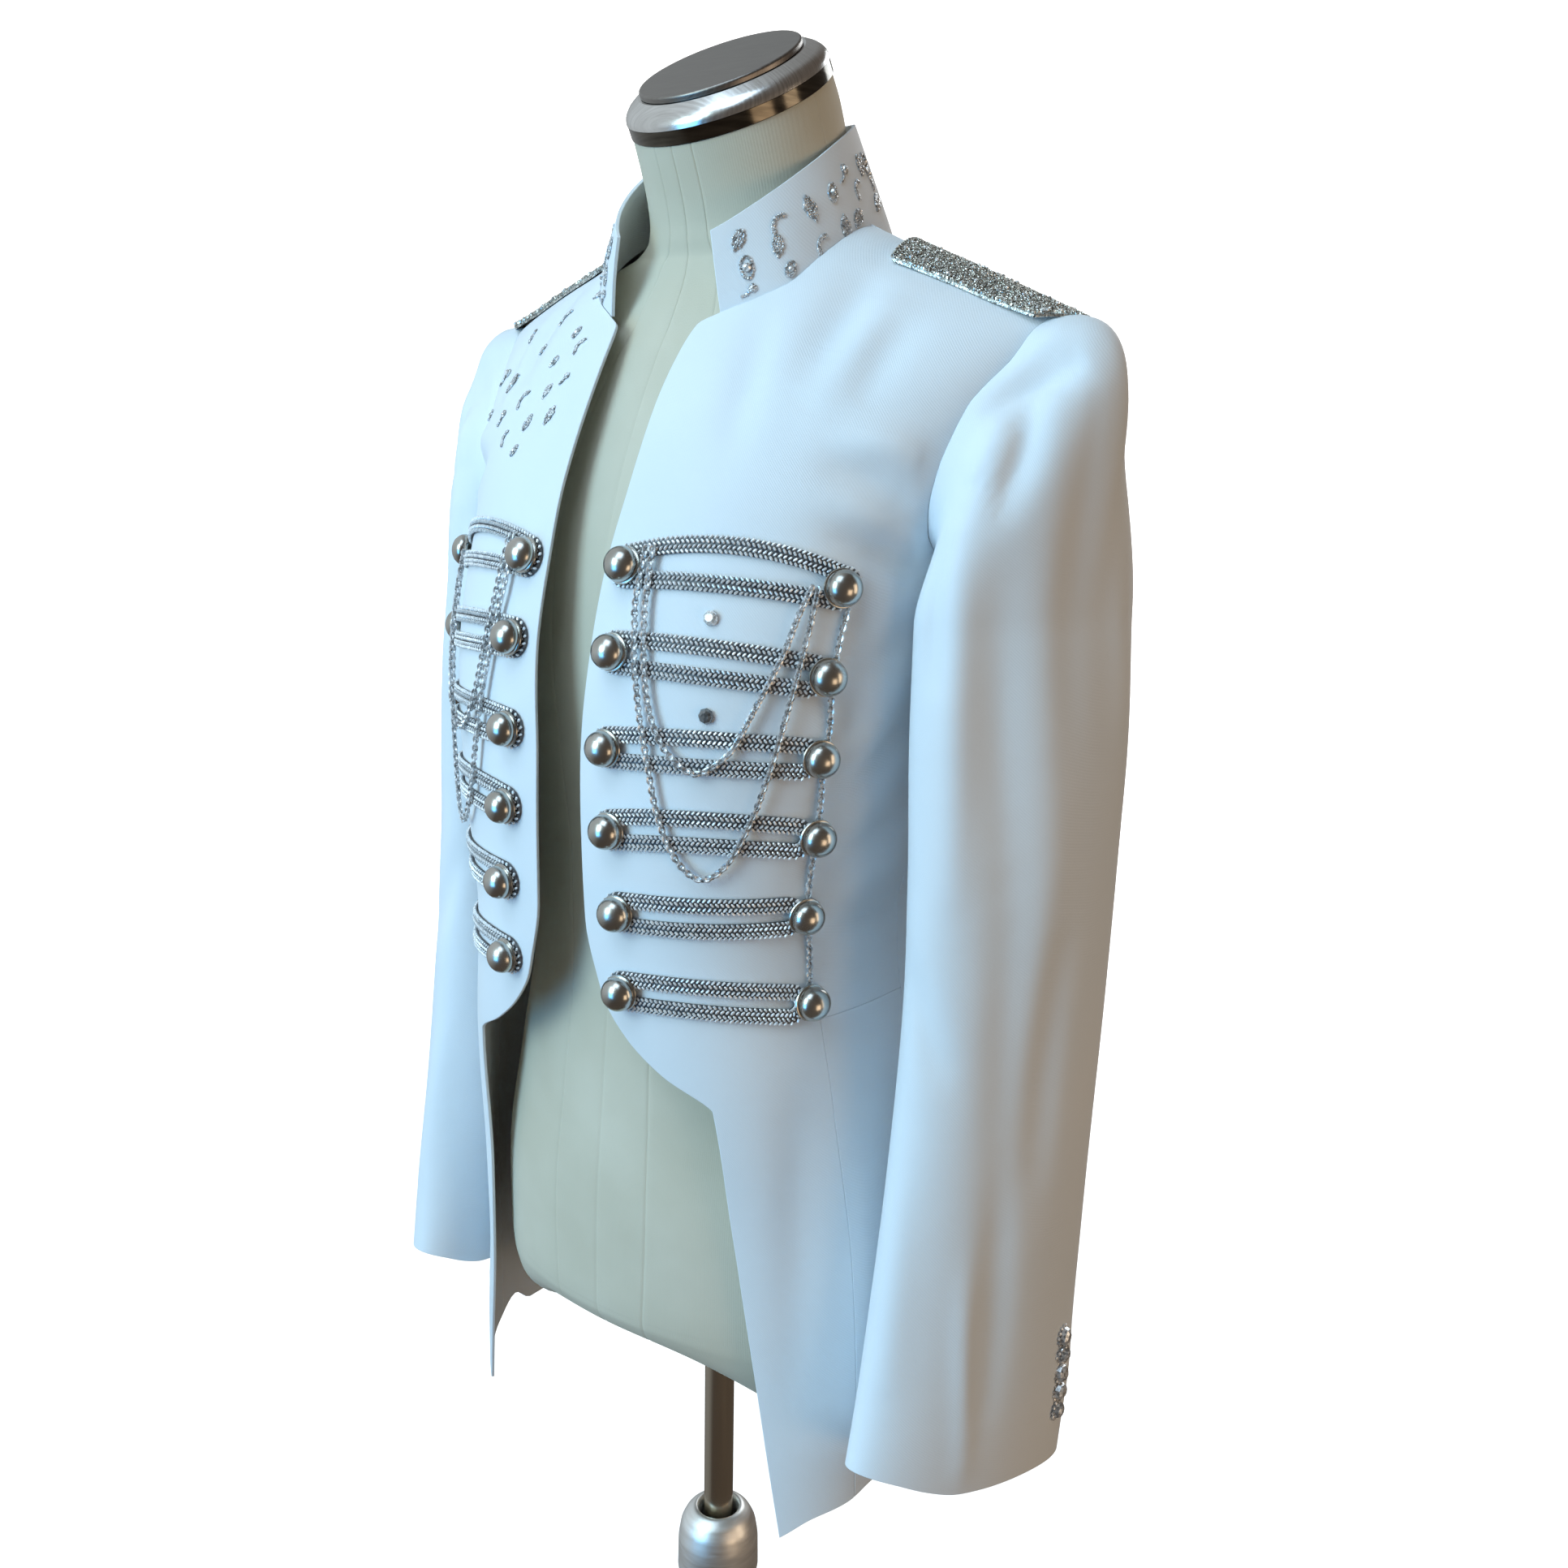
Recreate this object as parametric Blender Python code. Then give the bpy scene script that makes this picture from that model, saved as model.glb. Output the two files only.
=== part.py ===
"""Military-style blazer worn on a limbless dress form with a metal stand.

Metres, +Z up. The wearer faces -Y and the wearer's left is +X. The origin is on the underside of
the stand's base, on the axis of its pole.
"""

from collections import namedtuple
from math import cos, radians, sin

import bmesh
import bpy
import numpy as np

# Cloth
WALL = 0.002
SEAM = 0.0003
EASE = SEAM / 2
ARMHOLE_GAP = 0.0007
NECK_GAP = 0.0006

# Trim
BRAID_WIDTH = 0.0076
BRAID_THICKNESS = 0.0024
LOOP_RADIUS = 0.0068
CHAIN_RADIUS = 0.0013
BRAID_LIFT = 0.0006
BRAID_TOP_SHARE = 0.8
SWAG_LIFT = BRAID_LIFT + BRAID_THICKNESS + SEAM + CHAIN_RADIUS
DROP_LIFT = BRAID_LIFT + CHAIN_RADIUS
BUTTON_LIFT = 0.0035
EPAULETTE_LIFT = 0.0008
EPAULETTE_THICKNESS = 0.0038

# Where the jacket's surface changes: its shoulders start above LEVEL, and the armpit is a little higher.
LEVEL = 1.20
TIP = 1.375
ARMPIT = 1.235
WAIST_SEAM = 0.997
DART_TURN = 68.5
DART_SHARE = 0.70
RIDGE = 0.030
FRONT_DROP = 0.27
FRONT_ROUND = 0.65
BACK_DROP = 0.16
BACK_ROUND = 0.60
FRONT_POWER = 2.9
BACK_POWER = 2.4

# A short step for slopes, and how finely curves are walked before they are divided.
STEP = 0.001
FINE_TURNS = 160
FINE_LINE = 60

Section = namedtuple("Section", "height half_width front back")
TRUNK = (
    Section(0.660, 0.158, 0.113, 0.122),
    Section(0.750, 0.156, 0.113, 0.124),
    Section(0.850, 0.151, 0.118, 0.122),
    Section(0.950, 0.140, 0.131, 0.108),
    Section(1.030, 0.128, 0.137, 0.094),
    Section(1.100, 0.137, 0.1385, 0.102),
    Section(1.190, 0.148, 0.1355, 0.113),
    Section(1.235, 0.152, 0.132, 0.116),
    Section(1.280, 0.1675, 0.130, 0.116),
    Section(1.325, 0.180, 0.131, 0.116),
    Section(1.360, 0.193, 0.132, 0.116),
    Section(1.375, 0.205, 0.132, 0.116),
)

# Height of the shoulders' ridge by distance from the middle, as the fronts and the backs run into it.
Shoulder = namedtuple("Shoulder", "out front back")
SHOULDERS = (
    Shoulder(0.000, 1.424, 1.445),
    Shoulder(0.040, 1.420, 1.432),
    Shoulder(0.075, 1.4125, 1.4135),
    Shoulder(0.108, 1.3995, 1.3995),
    Shoulder(0.150, 1.383, 1.383),
    Shoulder(0.190, 1.366, 1.366),
    Shoulder(0.220, 1.351, 1.351),
)

# The fronts' inner outline: neckline, rounded corner, opening, cutaway, and the edge of the tail.
Edge = namedtuple("Edge", "rise out")
FRONT_EDGE = (
    Edge(0.686, 0.1217),
    Edge(0.786, 0.1079),
    Edge(0.872, 0.0981),
    Edge(0.9494, 0.0912),
    Edge(0.9521, 0.0890),
    Edge(0.9665, 0.0643),
    Edge(0.9836, 0.0436),
    Edge(1.0017, 0.0304),
    Edge(1.0143, 0.0261),
    Edge(1.047, 0.0184),
    Edge(1.091, 0.0171),
    Edge(1.129, 0.0165),
    Edge(1.193, 0.0200),
    Edge(1.2266, 0.0212),
    Edge(1.260, 0.0240),
    Edge(1.2925, 0.0246),
    Edge(1.315, 0.0267),
    Edge(1.3245, 0.0292),
    Edge(1.330, 0.0395),
    Edge(1.3375, 0.0555),
    Edge(1.348, 0.0700),
    Edge(1.358, 0.0735),
    Edge(1.368, 0.0755),
    Edge(1.375, 0.0750),
)
NECK_CORNER = 1.330
CUTAWAY_CORNER = 0.9494
TAIL_TIP = 0.686
BACK_NECK = (
    Edge(1.3450, 0.000),
    Edge(1.3460, 0.026),
    Edge(1.3490, 0.047),
    Edge(1.3550, 0.064),
    Edge(1.3650, 0.074),
    Edge(1.3750, 0.075),
)

Armhole = namedtuple("Armhole", "rise front_turn back_turn")
ARMHOLE = (
    Armhole(1.2350, 90.0, 90.0),
    Armhole(1.2525, 80.0, 97.0),
    Armhole(1.2770, 72.5, 104.0),
    Armhole(1.2930, 70.8, 106.5),
    Armhole(1.3185, 70.4, 106.0),
    Armhole(1.3280, 71.7, 105.5),
    Armhole(1.3470, 75.5, 104.5),
    Armhole(1.3750, 67.5, 109.7),
)

Hem = namedtuple("Hem", "turn height")
HEM = (
    Hem(43.5, 0.686),
    Hem(54.0, 0.698),
    Hem(67.0, 0.705),
    Hem(77.0, 0.713),
    Hem(84.0, 0.702),
    Hem(92.0, 0.702),
    Hem(106.0, 0.704),
    Hem(180.0, 0.706),
)

FRONT_ROWS = (
    *(1.375, 1.3715, 1.366, 1.358, 1.348, 1.3375, 1.330, 1.3245, 1.315, 1.305, 1.2925, 1.277, 1.260, 1.247),
    *(ARMPIT, 1.214, 1.193, 1.169, 1.144, 1.122, 1.101, 1.079, 1.058, 1.035, 1.013, WAIST_SEAM),
)
CUTAWAY_ROWS = (0.9836, 0.975, 0.9665, 0.959, 0.9521, CUTAWAY_CORNER)
TAIL_ROWS = 6
EDGE_COLUMNS = 5
SIDE_COLUMNS = 3
BACK_ROWS = (
    *(1.375, 1.365, 1.355, 1.349, 1.346, 1.345, 1.338, 1.330, 1.310, 1.2925, 1.277, 1.260, 1.247, ARMPIT),
    *(1.20, 1.16, 1.12, 1.08, 1.04, 1.00, 0.96, 0.92, 0.86, 0.79),
)
BACK_COLUMNS = 6

# Sleeves: a flattened tube, thin across and wide from front to back, whose front end turns inward.
Sleeve = namedtuple("Sleeve", "height out back thin wide swing")
SLEEVE = (
    Sleeve(0.740, 0.1982, -0.0295, 0.0291, 0.0748, 17.9),
    Sleeve(0.780, 0.1983, -0.0222, 0.0321, 0.0744, 16.8),
    Sleeve(0.840, 0.1973, -0.0128, 0.0339, 0.0728, 15.3),
    Sleeve(0.920, 0.1969, -0.0023, 0.0347, 0.0709, 14.2),
    Sleeve(1.000, 0.1966, 0.0062, 0.0350, 0.0702, 13.9),
    Sleeve(1.080, 0.1950, 0.0114, 0.0348, 0.0711, 15.0),
    Sleeve(1.150, 0.1926, 0.0145, 0.0339, 0.0726, 16.2),
    Sleeve(1.210, 0.1903, 0.0175, 0.0320, 0.0733, 15.7),
)
BICEPS = 1.21
CUFF = 0.745
CUFF_START = 0.90
CuffEdge = namedtuple("CuffEdge", "back height")
CUFF_LINE = (
    CuffEdge(-0.105, 0.764),
    CuffEdge(-0.090, 0.757),
    CuffEdge(-0.075, 0.749),
    CuffEdge(-0.060, 0.743),
    CuffEdge(0.000, 0.733),
    CuffEdge(0.050, 0.722),
)
SLEEVE_ROWS = (1.15, 1.08, 1.00, 0.92, 0.84, 0.785, CUFF)
SLEEVE_HEAD_ROWS = 6
SLEEVE_COLUMNS = 20
ARMHOLE_CENTRE = (0.016, 1.298)
UNDERARM_LIFT = 0.0024
UNDERARM_START = 0.1
UNDERARM_REACH = 0.6
# How far the sleeve's head runs out, and hangs, at the armpit and at the shoulder.
HEAD_FULLNESS = (0.022, 0.200)
HEAD_HANG = (0.031, 0.195)
HEAD_RISE = 0.024
HEAD_ROUNDING = 1.18

# Stand collar
COLLAR_WALL = 0.0022
COLLAR_TUCK = 0.001
COLLAR_BULGE = 0.0008
COLLAR_HALF_WIDTH = 0.0615
COLLAR_CENTRE = 0.004
COLLAR_FRONT = 0.0708
COLLAR_BACK = 0.0735
COLLAR_START = 32.7
Rim = namedtuple("Rim", "back height")
COLLAR_TOP = (
    Rim(-0.0556, 1.4045),
    Rim(-0.0365, 1.4205),
    Rim(-0.0068, 1.4412),
    Rim(0.0261, 1.4595),
    Rim(0.0540, 1.4700),
    Rim(0.0780, 1.4740),
)

# Epaulettes lie along the ridge of the shoulder.
EPAULETTE_INNER = 0.104
EPAULETTE_OUTER = 0.2080
EPAULETTE_STRAIGHT = 0.1640
EPAULETTE_INNER_FRONT = 0.0275
EPAULETTE_OUTER_FRONT = 0.0185
EPAULETTE_INNER_BACK = 0.020
EPAULETTE_OUTER_BACK = 0.012
EPAULETTE_SCALLOP = 0.004
EPAULETTE_SLANT = 0.020
EPAULETTE_ROWS = 9
EPAULETTE_COLUMNS = 7
# How far below the ridge its cloth is looked for, and in how many halvings.
SHOULDER_SEARCH = 0.018
HALVINGS = 40

# Six rows of looped braid. Places on a front are girth, round the body from its middle, and height.
Frog = namedtuple("Frog", "inner inner_height outer outer_height upper_bow lower_bow")
FROGS = (
    Frog(0.0363, 1.2355, 0.1507, 1.2291, 0.0095, 0.0042),
    Frog(0.0374, 1.1928, 0.1504, 1.1856, 0.0030, 0.0022),
    Frog(0.0369, 1.1441, 0.1503, 1.1441, 0.0030, 0.0022),
    Frog(0.0392, 1.1008, 0.1500, 1.1017, 0.0043, 0.0040),
    Frog(0.0435, 1.0567, 0.1440, 1.0585, 0.0012, 0.0010),
    Frog(0.0443, 1.0125, 0.1475, 1.0080, 0.0030, 0.0030),
)
# The fronts' chart of girth and height: each grid's start, end and step, and its turns' count.
CHART_HEIGHTS = (0.996, 1.266, 0.003)
CHART_GIRTHS = (0.012, 0.180, 0.002)
CHART_TURNS = (1.0, 95, 500)
CHART_PASSES = 8
RUN_STEPS = 8
BEND_STEPS = 5

# A turned button: radius and height above its seat.
BUTTON = ((0.0074, 0.0), (0.0093, 0.0032), (0.0085, 0.0070), (0.0052, 0.0098))
BUTTON_TOP = 0.0107
BUTTON_SIDES = 8

# Chains, as girth and height along each one.
SHORT_SWAG = (
    *((0.0520, 1.2440), (0.0536, 1.2240), (0.0546, 1.2124), (0.0582, 1.1892), (0.0633, 1.1666)),
    *((0.0714, 1.1495), (0.0830, 1.1385), (0.0925, 1.1378), (0.1056, 1.1486), (0.1137, 1.1648)),
    *((0.1213, 1.1820), (0.1275, 1.1982), (0.1314, 1.2151), (0.1352, 1.2287)),
)
LONG_SWAG = (
    *((0.0483, 1.2440), (0.0480, 1.2200), (0.0500, 1.2065), (0.0527, 1.1892), (0.0575, 1.1657)),
    *((0.0630, 1.1414), (0.0690, 1.1135), (0.0782, 1.0918), (0.0907, 1.0815), (0.1036, 1.0900)),
    *((0.1150, 1.1117), (0.1225, 1.1324), (0.1290, 1.1558), (0.1344, 1.1829), (0.1375, 1.2058)),
    *((0.1386, 1.2280),),
)
DROP_CHAIN = (
    *((0.1566, 1.2172), (0.1554, 1.2064), (0.1550, 1.1960), (0.1540, 1.1856), (0.1548, 1.1748)),
    *((0.1557, 1.1621), (0.1550, 1.1530), (0.1532, 1.1441), (0.1530, 1.1324), (0.1530, 1.1216)),
    *((0.1520, 1.1117), (0.1510, 1.1017), (0.1493, 1.0900), (0.1475, 1.0774), (0.1466, 1.0680)),
    *((0.1466, 1.0585), (0.1475, 1.0467), (0.1480, 1.0300), (0.1480, 1.0150)),
)
CHAIN_STEP = 0.0078
SPAN_STEPS = 12

# The dress form, from its flat underside to the slanting top of its neck.
Ring = namedtuple("Ring", "height back half_width front_depth back_depth power tilt")
FORM = (
    Ring(0.8000, -0.010, 0.143, 0.104, 0.104, 2.1, 0.0),
    Ring(0.8600, -0.008, 0.141, 0.105, 0.102, 2.2, 0.0),
    Ring(0.9300, -0.005, 0.130, 0.102, 0.092, 2.2, 0.0),
    Ring(1.0000, -0.004, 0.117, 0.098, 0.082, 2.2, 0.0),
    Ring(1.0600, -0.005, 0.112, 0.098, 0.078, 2.2, 0.0),
    Ring(1.1300, -0.004, 0.124, 0.104, 0.086, 2.2, 0.0),
    Ring(1.1900, 0.000, 0.136, 0.108, 0.096, 2.3, 0.0),
    Ring(1.2300, 0.004, 0.144, 0.107, 0.098, 2.3, 0.0),
    Ring(1.2700, 0.012, 0.156, 0.104, 0.092, 2.2, 0.0),
    Ring(1.3100, 0.020, 0.166, 0.096, 0.084, 2.0, 0.0),
    Ring(1.3400, 0.027, 0.170, 0.088, 0.074, 1.8, 0.0),
    Ring(1.3620, 0.030, 0.158, 0.078, 0.066, 1.7, 0.0),
    Ring(1.3780, 0.030, 0.135, 0.070, 0.062, 1.7, 0.0),
    Ring(1.3900, 0.029, 0.104, 0.065, 0.050, 1.8, 0.0),
    Ring(1.4000, 0.027, 0.078, 0.062, 0.044, 1.9, 4.0),
    Ring(1.4120, 0.0235, 0.062, 0.060, 0.0530, 2.0, 9.0),
    Ring(1.4280, 0.0190, 0.0585, 0.058, 0.0590, 2.0, 16.0),
    Ring(1.4450, 0.0135, 0.0577, 0.0573, 0.0600, 2.0, 22.0),
    Ring(1.4620, 0.0068, 0.0573, 0.0571, 0.0605, 2.0, 26.0),
    Ring(1.4769, 0.0004, 0.0571, 0.0571, 0.0571, 2.0, 29.7),
)
FORM_COLUMNS = 24
# Its underside: each row is a smaller copy of the lowest ring, hung lower down. It has two lobes.
UNDERSIDE = ((0.11, 1.0), (0.22, 1.0), (0.42, 0.97), (0.62, 0.88), (0.80, 0.70), (0.93, 0.44), (0.985, 0.2))
UNDERSIDE_DEPTH = 0.083
LOBE_PLACE = 0.095
CROTCH = 0.45

# The neck's metal top: turned on an axis that leans forward, depths measured down from its plate.
CAP_TILT = 29.7
CAP_PLATE = (0.0, -0.0102, 1.4959)
PLATE_PROFILE = ((0.0455, 0.0), (0.0463, 0.0008), (0.0463, 0.0032))
CAP_PROFILE = ((0.0478, 0.0035), (0.0545, 0.0074), (0.0575, 0.0108), (0.0581, 0.0136))
BAND_PROFILE = ((0.0578, 0.0139), (0.0579, 0.0213))
CAP_SIDES = 32

# The stand, as radius and height.
POLE_RADIUS = 0.0097
POLE_BOTTOM = 0.560
HUB_PROFILE = (
    *((0.0225, 0.0123), (0.0225, 0.545), (0.0272, 0.548), (0.0268, 0.572), (0.0250, 0.583)),
    *((0.0215, 0.590), (0.0165, 0.5945), (0.0140, 0.5945), (0.0125, 0.589), (0.0125, 0.5597)),
)
BASE_PROFILE = ((0.166, 0.0), (0.170, 0.003), (0.170, 0.009), (0.167, 0.012))
STAND_SIDES = 32

SHARP = 40


def curve_through(rows, key, value):
    """A smooth function of one column of a table, with no overshoot, level outside the table."""
    x = np.array([getattr(row, key) for row in rows], float)
    y = np.array([getattr(row, value) for row in rows], float)
    step = np.diff(x)
    slope = np.diff(y) / step
    before, after = slope[:-1], slope[1:]
    same_way = before * after > 0
    middle = np.where(same_way, 2 * before * after / np.where(same_way, before + after, 1), 0)
    slopes = np.concatenate([slope[:1], middle, slope[-1:]])

    def at(places):
        t = np.clip(np.asarray(places, float), x[0], x[-1])
        i = np.clip(np.searchsorted(x, t) - 1, 0, len(step) - 1)
        s = (t - x[i]) / step[i]
        ends = (2 * s**3 - 3 * s**2 + 1) * y[i] + (3 * s**2 - 2 * s**3) * y[i + 1]
        pull = (s**3 - 2 * s**2 + s) * slopes[i] + (s**3 - s**2) * slopes[i + 1]
        return ends + pull * step[i]

    return at


half_width = curve_through(TRUNK, "height", "half_width")
front_depth = curve_through(TRUNK, "height", "front")
back_depth = curve_through(TRUNK, "height", "back")
ridge_front = curve_through(SHOULDERS, "out", "front")
ridge_back = curve_through(SHOULDERS, "out", "back")
edge_out = curve_through(FRONT_EDGE, "rise", "out")
back_neck_out = curve_through(BACK_NECK, "rise", "out")
front_armhole = curve_through(ARMHOLE, "rise", "front_turn")
back_armhole = curve_through(ARMHOLE, "rise", "back_turn")
hem_height = curve_through(HEM, "turn", "height")
collar_height = curve_through(COLLAR_TOP, "back", "height")
cuff_height = curve_through(CUFF_LINE, "back", "height")


def cloth(turn, rise):
    """A point on the jacket's outside.

    turn is 0 at the middle of the front, 90 at the side and 180 at the middle of the back. rise is
    the height, up to LEVEL. Above that each row of equal rise climbs towards the shoulder's ridge.
    """
    turn, rise = np.broadcast_arrays(np.asarray(turn, float), np.asarray(rise, float))
    t = np.radians(turn)
    behind = turn > 90
    power = np.where(behind, BACK_POWER, FRONT_POWER)
    out = half_width(rise) * np.abs(np.sin(t)) ** (2 / power)
    share = np.abs(np.cos(t)) ** (2 / power)
    ridge = np.where(behind, ridge_back(out), ridge_front(out))
    climb = np.clip((rise - LEVEL) / (TIP - LEVEL), 0, 1)
    z = np.where(rise > LEVEL, LEVEL + (ridge - LEVEL) * climb, rise)
    drop = np.maximum(ridge - z, 0)
    front_share = (1 - (1 - np.minimum(drop / FRONT_DROP, 1)) ** 2) ** FRONT_ROUND
    back_share = (1 - (1 - np.minimum(drop / BACK_DROP, 1)) ** 2) ** BACK_ROUND
    middle = RIDGE * (1 - front_share)
    front_y = middle - front_depth(rise) * share * front_share
    back_y = middle + back_depth(rise) * share * back_share
    return np.stack([out, np.where(behind, back_y, front_y), z], -1)


def unit(vectors):
    return vectors / np.linalg.norm(vectors, axis=-1, keepdims=True)


def cloth_normal(turn, rise):
    """The outward direction there. Panels that meet at a seam get the same one."""
    turn, rise = np.broadcast_arrays(np.asarray(turn, float), np.asarray(rise, float))
    round_body = cloth(np.minimum(turn + 0.2, 180), rise) - cloth(turn - 0.2, rise)
    upward = cloth(turn, np.minimum(rise + STEP / 2, TIP)) - cloth(turn, rise - STEP / 2)
    normal = np.cross(round_body, upward)
    normal[turn > 179.9, 0] = 0
    on_ridge = rise > TIP - 1e-6
    out = cloth(turn, rise)[..., 0]
    slope = (ridge_front(out + STEP) - ridge_front(out - STEP)) / (2 * STEP)
    level = np.stack([-slope, np.zeros_like(slope), np.ones_like(slope)], -1)
    return unit(np.where(on_ridge[..., None], level, normal))


def turn_at(out, rise):
    """The turn, on the front, of the point this far from the middle."""
    share = np.minimum(out / half_width(rise), 1)
    return np.degrees(np.arcsin(share ** (FRONT_POWER / 2)))


def back_turn_at(out, rise):
    share = np.minimum(out / half_width(rise), 1)
    return 180 - np.degrees(np.arcsin(share ** (BACK_POWER / 2)))


def turns_between(start, end, rise, count):
    """count + 1 turns, evenly spaced along the cloth."""
    fine = np.linspace(start, end, FINE_TURNS)
    points = cloth(fine, rise)
    run = np.concatenate([[0], np.cumsum(np.linalg.norm(np.diff(points, axis=0), axis=1))])
    return np.interp(np.linspace(0, run[-1], count + 1), run, fine)


def material(name, color, roughness, metallic=0.0):
    made = bpy.data.materials.new(name)
    made.use_nodes = True
    shader = made.node_tree.nodes["Principled BSDF"]
    shader.inputs["Base Color"].default_value = (*color, 1)
    shader.inputs["Roughness"].default_value = roughness
    shader.inputs["Metallic"].default_value = metallic
    made.diffuse_color = (*color, 1)
    return made


def add_mesh(name, points, faces, look):
    """A closed mesh object with its faces pointing out."""
    mesh = bpy.data.meshes.new(name)
    mesh.from_pydata([tuple(point) for point in points], [], faces)
    shape = bmesh.new()
    shape.from_mesh(mesh)
    loose = [vertex for vertex in shape.verts if not vertex.link_faces]
    bmesh.ops.delete(shape, geom=loose, context="VERTS")
    bmesh.ops.recalc_face_normals(shape, faces=shape.faces)
    shape.to_mesh(mesh)
    shape.free()
    mesh.shade_smooth()
    mesh.set_sharp_from_angle(angle=radians(SHARP))
    mesh.materials.append(look)
    made = bpy.data.objects.new(name, mesh)
    bpy.context.scene.collection.objects.link(made)
    return made


def add_wall(name, outer, inner, look, cells=None, wrap=False):
    """The wall between two grids of points, with a rim along every open side."""
    rows, columns = outer.shape[:2]
    across = columns if wrap else columns - 1
    cells = np.ones((rows - 1, across), bool) if cells is None else cells
    total = rows * columns

    def corner(row, column, side):
        return side * total + row * columns + column % columns

    def filled(row, column):
        column = column % across if wrap else column
        return 0 <= row < rows - 1 and 0 <= column < across and cells[row, column]

    faces = []
    for row, column in np.argwhere(cells):
        ring = [(row, column), (row, column + 1), (row + 1, column + 1), (row + 1, column)]
        faces.append([corner(*place, 0) for place in ring])
        faces.append([corner(*place, 1) for place in reversed(ring)])
        beside = ((row - 1, column), (row, column + 1), (row + 1, column), (row, column - 1))
        for k, other in enumerate(beside):
            if not filled(*other):
                a, b = ring[k], ring[(k + 1) % 4]
                faces.append([corner(*b, 0), corner(*a, 0), corner(*a, 1), corner(*b, 1)])
    points = np.concatenate([outer.reshape(-1, 3), inner.reshape(-1, 3)])
    return add_mesh(name, points, faces, look)


def add_loft(name, rings, look):
    """A closed solid through rings of points, all with the same count, with flat ends."""
    count, sides = len(rings), len(rings[0])
    faces = [list(range(sides)), [(count - 1) * sides + side for side in range(sides)]]
    for row in range(count - 1):
        low, high = row * sides, (row + 1) * sides
        for side in range(sides):
            after = (side + 1) % sides
            faces.append([low + side, low + after, high + after, high + side])
    return add_mesh(name, np.concatenate(rings), faces, look)


def both_sides(name, build):
    """The wearer's left piece as built, and its mirror image on the right."""
    for side, sign in (("left", 1), ("right", -1)):
        build(name.format(side=side), np.array([sign, 1, 1]))


def ease(grid, rows, columns, toward):
    """The moves that hold these points back from a seam, towards their neighbours in the panel."""
    moves = np.zeros_like(grid)
    for row in rows:
        for column in columns:
            near = grid[row + toward[0], column + toward[1]] - grid[row, column]
            moves[row, column] = EASE * unit(near)
    return moves


# Panels


def front_grid():
    """Turns and rises of a front's points, and which cells it fills."""
    turns, rises = [], []
    for rise in FRONT_ROWS + CUTAWAY_ROWS:
        start = turn_at(edge_out(rise), rise)
        side = front_armhole(rise) if rise > ARMPIT else 90
        above = np.clip((rise - WAIST_SEAM) / (TIP - WAIST_SEAM), 0, 1)
        dart = DART_TURN + (start + DART_SHARE * (side - start) - DART_TURN) * above
        first = turns_between(start, dart, rise, EDGE_COLUMNS)
        turns.append(np.concatenate([first, turns_between(dart, side, rise, SIDE_COLUMNS)[1:]]))
        rises.append(np.full(len(turns[-1]), rise))
    for step in range(1, TAIL_ROWS + 1):
        share = step / TAIL_ROWS
        edge_rise = CUTAWAY_CORNER + share * (TAIL_TIP - CUTAWAY_CORNER)
        start = turn_at(edge_out(edge_rise), edge_rise)
        first = turns_between(start, DART_TURN, edge_rise, EDGE_COLUMNS)
        row = np.concatenate([first, np.linspace(DART_TURN, 90, SIDE_COLUMNS + 1)[1:]])
        turns.append(row)
        rises.append(CUTAWAY_CORNER + share * (hem_height(row) - CUTAWAY_CORNER))
    turns, rises = np.array(turns), np.array(rises)
    cells = np.ones((len(turns) - 1, EDGE_COLUMNS + SIDE_COLUMNS), bool)
    cells[len(FRONT_ROWS) - 1 :, EDGE_COLUMNS:] = False
    return turns, rises, cells


def add_fronts(look):
    turns, rises, cells = front_grid()
    outer = cloth(turns, rises)
    waist = len(FRONT_ROWS) - 1
    last = outer.shape[1] - 1
    armpit = FRONT_ROWS.index(ARMPIT)
    moves = ease(outer, [0], range(last + 1), (1, 0))
    moves += ease(outer, range(armpit, waist + 1), [last], (0, -1))
    moves += ease(outer, [waist], range(EDGE_COLUMNS, last + 1), (-1, 0))
    moves += ease(outer, range(waist, len(outer)), [EDGE_COLUMNS], (0, -1))
    inner = outer - WALL * cloth_normal(turns, rises)

    def build(name, mirror):
        add_wall(name, (outer + moves) * mirror, (inner + moves) * mirror, look, cells)

    both_sides("front_{side}", build)


def add_skirts(look):
    """The side pieces below the waist seam, between the fronts' tails and the backs."""
    turns, rises = [], []
    for rise in (WAIST_SEAM,) + CUTAWAY_ROWS:
        turns.append(turns_between(DART_TURN, 90, rise, SIDE_COLUMNS))
        rises.append(np.full(SIDE_COLUMNS + 1, rise))
    for step in range(1, TAIL_ROWS + 1):
        row = turns_between(DART_TURN, 90, TAIL_TIP, SIDE_COLUMNS)
        turns.append(row)
        rises.append(CUTAWAY_CORNER + step / TAIL_ROWS * (hem_height(row) - CUTAWAY_CORNER))
    turns, rises = np.array(turns), np.array(rises)
    outer = cloth(turns, rises)
    count = len(outer)
    moves = ease(outer, [0], range(SIDE_COLUMNS + 1), (1, 0))
    moves += ease(outer, range(count), [0], (0, 1))
    moves += ease(outer, range(count), [SIDE_COLUMNS], (0, -1))
    inner = outer - WALL * cloth_normal(turns, rises)

    def build(name, mirror):
        add_wall(name, (outer + moves) * mirror, (inner + moves) * mirror, look)

    both_sides("skirt_{side}", build)


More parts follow.
